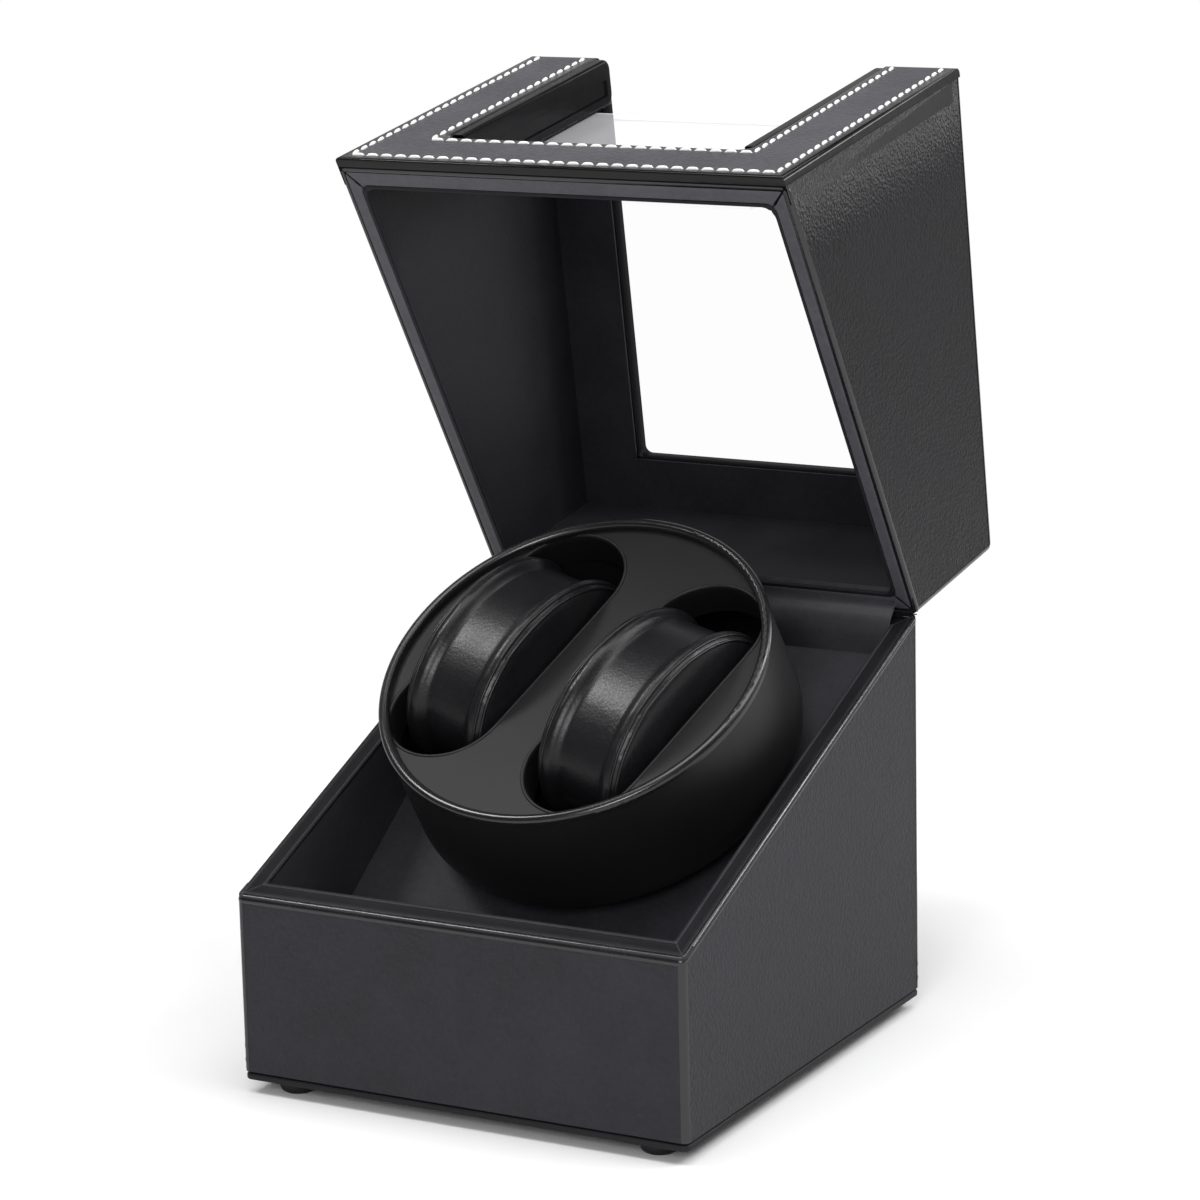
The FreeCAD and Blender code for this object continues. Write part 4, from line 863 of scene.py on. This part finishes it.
def notch_cheek(name, side):
    front, top = LID_FRONT + CHEEK_IN[0], LID_TOP - CHEEK_IN[1]
    low = NOTCH_LOW + NOTCH_ROUND
    points = [(front, low)]
    for middle, start in ((front + CHEEK_ROUND, 180), (CHEEK_BACK - CHEEK_ROUND, 90)):
        points += arc(middle, top - CHEEK_ROUND, CHEEK_ROUND, range(start, start - 91, -15))
    points.append((CHEEK_BACK, low))
    cheek = start_mesh()
    outline([(side * FRAME_INNER, y, z) for y, z in points])
    fill()
    extrude(x=side * (CHEEK_FACE - FRAME_INNER))
    pick("faces", lambda middle, face: abs(abs(middle.x) - CHEEK_FACE) < NEAR
         and abs(face.normal.x) > 0.9)
    bpy.ops.mesh.bevel(offset=CHEEK_ROLL, segments=5)
    pick("faces", lambda middle, face: abs(abs(middle.x) - CHEEK_FACE) < NEAR
         and abs(face.normal.x) > 0.99 and face.calc_area() > PANEL_LEAST)
    bpy.ops.mesh.inset(thickness=PANEL_INSET)
    bpy.ops.transform.resize(value=(1, PANEL_SHARE, 1),
                             center_override=(0, CHEEK_BACK - CHEEK_ROLL - PANEL_INSET, 0))
    bpy.ops.mesh.inset(thickness=PANEL_SLOPE)
    bpy.ops.transform.translate(value=(side * PANEL_DEPTH, 0, 0))
    nothing()
    done(cheek, name, "lid", ON_LID, smooth=50)
    dress(cheek, "frame_leather", "cheek_black")


for side_name, side in SIDES:
    notch_cheek(f"notch_cheek_{side_name}", side)

# %% [markdown]
# In the top of the lid the window has a narrow black edging, one section that runs down one
# side, along the far end with round corners, and up the other side.

# %% Window edging
WINDOW_HALF = 53
WINDOW_FAR = -26.0
WINDOW_NEAR = -157.0
WINDOW_ROUND = 3.0
TOP_EDGING = [(0.3, 57.7), (-0.05, 57.75), (-0.3, 58.1), (-0.35, 61.3), (-0.2, 64.4), (0.1, 64.75),
              (0.8, 64.85), (1.4, 64.7), (1.2, 60.0)]


def window_edging(name):
    stations = []
    for side in (-1, 1):
        near = [(side * (WINDOW_HALF + out) * MM, WINDOW_NEAR * MM, z * MM)
                for out, z in TOP_EDGING]
        bends = [arc(WINDOW_HALF - WINDOW_ROUND, WINDOW_FAR - WINDOW_ROUND, WINDOW_ROUND + out,
                     range(0, 91, 15)) for out, z in TOP_EDGING]
        round_corner = [[(side * x * MM, y * MM, z * MM) for (x, y), (out, z)
                         in zip(places, TOP_EDGING)] for places in zip(*bends)]
        stations += [near] + round_corner if side < 0 else round_corner[::-1] + [near]
    skin = bridged(stations, closed_path=False)
    done(skin, name, "lid", ON_LID, smooth=50)
    dress(skin, "case_leather", "window_black")


window_edging("window_edging_top")

# %% [markdown]
# The frame that holds the pane is slimmer below the window, where it slants back behind the rim
# and stays out of sight. A copy of the CAD board is merged and its lower inner edge moved
# outwards.

# %% Slimmer frame below the window
SASH_INNER = -154.7 * MM
SASH_STEPS = ((-48.9 * MM, -2.6 * MM), (-46.9 * MM, -1.9 * MM))

board = duplicate(nodes["lid_front"])
board.parent = None
edit(board)
bpy.ops.mesh.select_all(action="SELECT")
bpy.ops.mesh.remove_doubles(threshold=WELD)
home = ON_LID.inverted() @ board.matrix_world
for height, slant in SASH_STEPS:
    found = pick("verts", lambda middle, vert: abs((home @ middle).z - height) < MM / 5
                 and abs((home @ middle).y - SASH_INNER) < MM / 5)
    bpy.ops.transform.translate(value=ON_LID.to_3x3() @ Vector((0, slant, 0)))
    print("moved", found, "corners of the pane's frame")
nothing()
done(board, "lid_front_board", "lid", tidy=False)
# The board's outer side faces take the lid leather painted darker, as painted shade.
dress(board, "case_leather", "window_black", "lid_leather")
for face in board.data.polygons:
    face.material_index = 1 if abs(face.center.x) > HALF_WIDTH - MM else 0
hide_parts("lid_front")

# %% [markdown]
# ## The drum's face
# The face plate keeps its CAD shape. Each slot gets a soft rolled lip: a small section at the
# slot's edge that is pulled along the straight sides and spun round the ends.

# %% Slot lips
SLOT_SIDE = 30.7 * MM
SLOT_HALF = 20.7 * MM
SLOT_STRAIGHT = (105.2 - 41.4) / 2 * MM
FACE_LEVEL = -3 * MM
LIP = [(-0.15, -1.2), (-0.25, -0.3), (0.0, 0.25), (0.5, 0.42), (0.95, 0.22), (1.1, -0.3),
       (0.6, -0.9)]


def slot_lip(name, middle):
    lip = start_mesh()
    outline([(middle + SLOT_HALF + x * MM, -SLOT_STRAIGHT, FACE_LEVEL + z * MM) for x, z in LIP])
    bpy.ops.mesh.select_mode(type="EDGE")
    bpy.ops.mesh.select_all(action="SELECT")
    for end in (1, -1):
        extrude(y=end * 2 * SLOT_STRAIGHT)
        bpy.ops.mesh.spin(steps=24, angle=-pi, center=(middle, end * SLOT_STRAIGHT, 0),
                          axis=(0, 0, 1))
    done(lip, name, "drum", ON_DRUM, smooth=60)
    dress(lip, "drum_plastic", "face_plastic")


for side_name, side in SIDES:
    slot_lip(f"slot_lip_{side_name}", side * SLOT_SIDE)
dress(nodes["drum_face"], "drum_plastic", "face_plastic")

# %% [markdown]
# ## The cushions
# Each cushion is a small stuffed pillow of leather. Its band has a shallow channel in the middle
# and a ridge on each side, then come two piped seams and a domed cheek. The pillow starts as a
# slightly smaller puck, which is remeshed evenly and blown up as cloth, held at its seams,
# because stuffing gives a fullness that is hard to model by hand.

# %% The blown-up pillow
CUSHION_SIDE = 30.2 * MM
CUSHION_LEVEL = -16 * MM
CUSHION_LONG = 42 * MM
CUSHION_HIGH = 30 * MM
SEAM = 16 * MM
PUCK_INSET = 1.1 * MM
CAP = 2.4 * MM
CHEEK_STEPS = ((0.8, 0.97), (0.9, 0.93), (0.9, 0.85), (0.7, 0.65))
VOXEL = 2.4 * MM
SEAM_HOLD = (1.4 * MM, 0.93)
PRESSURE = 4
STUFFING_FRAMES = 20


def around_band(point):
    """How far out a point is, where 1 is the band of the puck."""
    return hypot(point.y / (CUSHION_LONG - PUCK_INSET), point.z / (CUSHION_HIGH - PUCK_INSET))


def puck():
    """The cut pieces before they are stuffed: a short oval drum with rounded cheeks."""
    piece = new(bpy.ops.mesh.primitive_cylinder_add, vertices=72, radius=1, depth=2 * SEAM,
                rotation=(0, pi / 2, 0))
    bpy.ops.object.transform_apply(location=True, rotation=True, scale=True)
    edit(piece)
    bpy.ops.mesh.select_all(action="SELECT")
    bpy.ops.transform.resize(value=(1, CUSHION_LONG - PUCK_INSET, CUSHION_HIGH - PUCK_INSET))
    for side in (-1, 1):
        pick("faces", lambda middle, face: face.normal.x * side > 0.9)
        for reach, share in CHEEK_STEPS:
            extrude(x=side * reach * MM)
            bpy.ops.transform.resize(value=(1, share, share))
    nothing()
    return piece


def stuffed(piece):
    """Remeshes the puck, lets the stuffing press from inside and applies the result."""
    modify(piece, "REMESH", mode="VOXEL", voxel_size=VOXEL)
    start = [vert.co.copy() for vert in piece.data.vertices]
    held = piece.vertex_groups.new(name="seams")
    seam = [vert.index for vert in piece.data.vertices
            if abs(abs(vert.co.x) - SEAM) < SEAM_HOLD[0] and around_band(vert.co) > SEAM_HOLD[1]]
    held.add(seam, 1.0, "REPLACE")
    only(piece)
    cloth = piece.modifiers.new("Stuffing", "CLOTH")
    cloth.settings.use_pressure = True
    cloth.settings.uniform_pressure_force = PRESSURE
    cloth.settings.effector_weights.gravity = 0
    cloth.settings.vertex_group_mass = held.name
    cloth.point_cache.frame_start, cloth.point_cache.frame_end = 1, STUFFING_FRAMES
    for number in range(1, STUFFING_FRAMES + 1):
        bpy.context.scene.frame_set(number)
    bpy.ops.object.modifier_apply(modifier=cloth.name)
    moved = 0.0
    for vert, old in zip(piece.data.vertices, start):
        step = vert.co - old
        moved = max(moved, step.length)
        if step.length > CAP:
            vert.co = old + step * (CAP / step.length)
    bpy.context.scene.frame_set(1)
    print("stuffing moved the leather by up to", round(moved / MM, 2), "mm")


# %% [markdown]
# The channel is pressed into the stuffed band, and the ridges beside it are raised, by moving
# the vertices along the band's normal. The piping is laid on last, as thin tubes: each starts as
# a wide ring that drops onto the leather, so it follows every swelling of the seam.

# %% Channel, ridges and piping
CHANNEL_FLOOR = 9.0
CHANNEL_DEPTH = 2.4
CHANNEL_WALL = 3.0
RIDGE = 0.5
RIDGE_AT, RIDGE_WIDTH = 13.6, 1.1
BAND_FROM, BAND_FADE = 0.8, 0.12
PIPING = (15.0, 16.8)
PIPING_RADIUS = 0.6 * MM
PIPING_STEPS = 96


def press_channel(piece):
    """Lowers the middle of the band, and raises a soft ridge beside it."""
    for vert in piece.data.vertices:
        out = around_band(vert.co)
        if out < BAND_FROM:
            continue
        across = abs(vert.co.x) / MM
        slope = min(max((across - CHANNEL_FLOOR) / CHANNEL_WALL, 0), 1)
        down = CHANNEL_DEPTH * (1 - slope * slope * (3 - 2 * slope))
        down -= RIDGE * exp(-((across - RIDGE_AT) / RIDGE_WIDTH) ** 2)
        radial = Vector((0, vert.co.y / CUSHION_LONG ** 2, vert.co.z / CUSHION_HIGH ** 2))
        vert.co -= radial.normalized() * (down * MM * min((out - BAND_FROM) / BAND_FADE, 1))


def piping(pillow, across):
    """A ring that is dropped onto the pillow, towards its axis, and becomes a thin tube."""
    tube = new(bpy.ops.mesh.primitive_circle_add, vertices=PIPING_STEPS, radius=1,
               rotation=(0, pi / 2, 0))
    bpy.ops.object.transform_apply(location=True, rotation=True, scale=True)
    for vert in tube.data.vertices:
        out = Vector((0, vert.co.y * CUSHION_LONG, vert.co.z * CUSHION_HIGH)) * 1.3
        vert.co = pillow.ray_cast(out + Vector((across * MM, 0, 0)), -out.normalized())[1]
    modify(tube, "SMOOTH", factor=0.5, iterations=2)
    bpy.ops.object.convert(target="CURVE")
    tube.data.bevel_depth = PIPING_RADIUS
    tube.data.bevel_resolution = 2
    bpy.ops.object.convert(target="MESH")
    return tube


def cushion():
    piece = puck()
    stuffed(piece)
    modify(piece, "SUBSURF", levels=1, render_levels=1)
    press_channel(piece)
    tubes = [piping(piece, side * across) for side in (-1, 1) for across in PIPING]
    only(piece)
    for tube in tubes:
        tube.select_set(True)
    bpy.ops.object.join()
    return piece


pillow = cushion()
twin = duplicate(pillow)
for piece, name, side, roll in ((pillow, "cushion_left", -1, 0),
                                (twin, "cushion_right", 1, pi)):
    place = (ON_DRUM @ Matrix.Translation((side * CUSHION_SIDE, 0, CUSHION_LEVEL))
             @ Matrix.Rotation(roll, 4, "X"))
    done(piece, name + "_pillow", name, place, smooth=60, tidy=False)
    dress(piece, "cushion_leather")
    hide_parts(name)

# %% [markdown]
# ## The strip over the hinges
# A loose strip of leather hides the hinges. It is glued to the back walls of the base and of the
# lid and sags between them. It is drawn in side view as a thin
# section with a fold at its upper edge, and pulled across the case. Its cut ends show the pale
# core of the leather.

# %% Hinge strip
STRIP_HALF = 75.45 * MM
STRIP_THICK = 0.7 * MM
STRIP_STEPS = 24
STRIP_PATH = [(79.2, 122.0), (79.1, 126.0), (78.95, 130.0), (78.9, 133.0), (79.2, 135.6),
              (80.1, 137.9), (81.6, 139.7), (83.2, 141.2), (84.6, 142.9), (85.2, 144.9),
              (85.6, 146.8), (86.0, 148.6)]


def hinge_strip():
    path = [Vector((0, y * MM, z * MM)) for y, z in STRIP_PATH]
    off = []
    for number, point in enumerate(path):
        ahead = path[min(number + 1, len(path) - 1)] - path[max(number - 1, 0)]
        off.append(point + Vector((0, -ahead.z, ahead.y)).normalized() * STRIP_THICK)
    strip = start_mesh()
    outline([tuple(point - Vector((STRIP_HALF, 0, 0))) for point in path + off[::-1]])
    fill()
    for number in range(STRIP_STEPS):
        extrude(x=2 * STRIP_HALF / STRIP_STEPS)
    nothing()
    done(strip, "hinge_strip", None, smooth=60)
    dress(strip, "strip_leather", "strip_leather", "cut_leather")
    for face in strip.data.polygons:
        face.material_index = 1 if abs(face.normal.x) > 0.9 else 0
    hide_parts("hinge_cover")
    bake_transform(strip)


hinge_strip()

# %% [markdown]
# Beside the strip, the leathers of base and lid meet in a thin roll on the hinge line, which
# closes the gap.

# %% Rolls on the hinge line
LINE_RADIUS = 0.2 * MM
LINE_LENGTH = 10 * MM

for side_name, side in SIDES:
    line = new(
        bpy.ops.mesh.primitive_cylinder_add, vertices=16, radius=LINE_RADIUS, depth=LINE_LENGTH,
        location=(side * (HALF_WIDTH - LINE_LENGTH / 2), hinge.y - 2 * LINE_RADIUS, hinge.z),
        rotation=(0, pi / 2, 0))
    edit(line)
    pick("faces", lambda middle, face: abs(face.normal.x) > 0.9)
    bpy.ops.mesh.bevel(offset=LINE_RADIUS / 2, segments=2)
    nothing()
    done(line, f"hinge_line_{side_name}", "base", smooth=50)
    dress(line, "case_leather", "piping_leather")
    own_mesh(line)

# %% [markdown]
# ## Feet
# Four rubber feet, domed like bumpers, with a hollow for the head of the screw. Half the profile
# is drawn and spun round.

# %% Rubber feet
FOOT_PROFILE = [(2.35, 1.8), (2.35, 0.25), (2.6, 0.0), (4.4, 0.0), (5.2, 0.25), (5.9, 0.8),
                (6.3, 1.6), (6.5, 2.6), (6.5, 4.3), (6.3, 4.5), (2.35, 4.5)]


def rubber_foot(name):
    low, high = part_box(name)
    middle = (low + high) / 2
    foot = start_mesh()
    outline([(middle.x + reach * MM, middle.y, height * MM) for reach, height in FOOT_PROFILE])
    bpy.ops.mesh.select_mode(type="EDGE")
    bpy.ops.mesh.select_all(action="SELECT")
    bpy.ops.mesh.spin(steps=48, angle=2 * pi, center=(middle.x, middle.y, 0), axis=(0, 0, 1))
    nothing()
    done(foot, name + "_rubber", "base", smooth=50)
    dress(foot, "foot_rubber")
    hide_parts(name)


for end in ("front", "back"):
    for side in ("left", "right"):
        rubber_foot(f"foot_{end}_{side}")

# %% [markdown]
# ## The studio
# A pale floor and background. They look white to the camera, also through the pane, but light
# the object at a plain level only, so that its colours come out as written. Mirrors see a dim
# room with a brighter wall behind the object, as in a studio with dark cloths. Close to the
# object the floor is a matt white that keeps its shadow, and further out it turns into an even
# white.

# %% Floor and world
FLOOR_SIZE = 6
FLOOR_BRIGHT = 1.0
FLOOR_NEAR = 0.45
FLOOR_LIGHT = 0.62
WORLD_LIGHT = 0.35
MIRROR_FRONT = 0.06
MIRROR_BACK = 0.5
BACKDROP_TOP, BACKDROP_EDGE = 0.6, 0.2
BACKDROP_FROM, BACKDROP_FADE = 0.2, 0.6


def white_floor():
    finish = Finish("floor_white", (FLOOR_LIGHT,) * 3, 1.0)
    far = finish.vector("LENGTH", finish.place, output="Value")
    matt = finish.node("ShaderNodeBsdfDiffuse", {}, Color=(FLOOR_LIGHT,) * 3 + (1,))
    near = finish.node("ShaderNodeBsdfDiffuse", {}, Color=(FLOOR_BRIGHT,) * 3 + (1,))
    even = finish.node("ShaderNodeEmission", {}, Color=(1, 1, 1, 1), Strength=1.0)
    shown = finish.node("ShaderNodeMixShader", {}, far.above(FLOOR_NEAR, FLOOR_NEAR), near, even)
    finish.surface(finish.node("ShaderNodeMixShader", {}, finish.seen(), matt, shown))


floor = new(bpy.ops.mesh.primitive_plane_add, size=FLOOR_SIZE)
floor.name = "floor"
white_floor()
floor.data.materials.append(finishes["floor_white"])

world = bpy.data.worlds.new("studio")
bpy.context.scene.world = world
world.use_nodes = True
sky = Tree(world.node_tree)
way = sky.node("ShaderNodeTexCoord", {}, output="Generated")
y_way = sky.node("ShaderNodeSeparateXYZ", {}, way, output="Y")
high = sky.node("ShaderNodeSeparateXYZ", {}, way, output="Z").above(BACKDROP_TOP, BACKDROP_EDGE)
backdrop = y_way.above(BACKDROP_FROM, BACKDROP_FADE) * (1 - high)
mirrored = backdrop * (MIRROR_BACK - MIRROR_FRONT) + MIRROR_FRONT - WORLD_LIGHT
light = sky.node("ShaderNodeBackground", {}, (1, 1, 1, 1), sky.seen() * (1 - WORLD_LIGHT)
                 + sky.ray("Glossy") * mirrored + WORLD_LIGHT)
sky.tree.links.new(light.socket, sky.tree.nodes["World Output"].inputs["Surface"])
print("white stage made")

# %% [markdown]
# Six soft boxes light the object. A large box above gives the even light, the others draw a
# highlight each along the rims, the frame, the pane and the side of the lid, which black leather
# needs to show its form.

# %% Lamps
def lamp(name, place, target, size, power):
    """A soft box that looks at a point."""
    data = bpy.data.lights.new(name, "AREA")
    data.shape = "RECTANGLE"
    data.size, data.size_y = size
    data.energy = power
    light = bpy.data.objects.new(name, data)
    bpy.context.scene.collection.objects.link(light)
    light.location = place
    light.rotation_mode = "QUATERNION"
    light.rotation_quaternion = (Vector(target) - Vector(place)).to_track_quat("-Z", "Y")


lamp("top_box", (0.1, -0.1, 1.3), (0, 0, 0.1), (0.9, 0.9), 7.5)
lamp("right_box", (0.9, 0.2, 1.15), (0, 0, 0.12), (0.6, 0.6), 4)
lamp("left_box", (-0.75, -0.3, 1.2), (-0.05, -0.05, 0.12), (0.3, 0.4), 5)
lamp("front_box", (0.55, -1.5, 0.75), (0, 0, 0.12), (0.6, 0.6), 9)
lamp("edge_strip", (0.9, 0.70, 1.2), (0, 0, 0.12), (0.25, 0.6), 5)
lamp("low_box", (0.75, 1.3, 0.62), (0.05, 0, 0.25), (0.35, 0.35), 2)
print("six lamps lit")

# %% [markdown]
# ## The camera
# It stands where the photograph was taken from: a long lens at about 1.4 metres, to the right of
# the front and a little above.

# %% Camera
AZIMUTH, ELEVATION, ROLL = radians(29.02), radians(12.76), radians(-1.33)
TARGET = Vector((7.6, 0, 156.5)) * MM
DISTANCE = 1371 * MM
FOCAL_SHARE = 4158 / 1200
FILM_WIDTH = 36
back = Vector((sin(AZIMUTH) * cos(ELEVATION), -cos(AZIMUTH) * cos(ELEVATION),
               sin(ELEVATION)))
right = Vector((0, 0, 1)).cross(back).normalized()
up = back.cross(right)
camera_x = cos(ROLL) * right + sin(ROLL) * up
camera_y = -sin(ROLL) * right + cos(ROLL) * up
camera = bpy.data.objects.new("camera", bpy.data.cameras.new("camera"))
bpy.context.scene.collection.objects.link(camera)
camera.matrix_world = (Matrix.Translation(TARGET + back * DISTANCE)
                       @ Matrix((camera_x, camera_y, back)).transposed().to_4x4())
camera.data.sensor_width = FILM_WIDTH
camera.data.lens = FILM_WIDTH * FOCAL_SHARE
camera.data.clip_start, camera.data.clip_end = 0.05, 20
bpy.context.scene.camera = camera
bpy.context.scene.view_settings.view_transform = "Standard"
print("camera at", tuple(round(value, 3) for value in camera.matrix_world.translation))

# %% [markdown]

import json
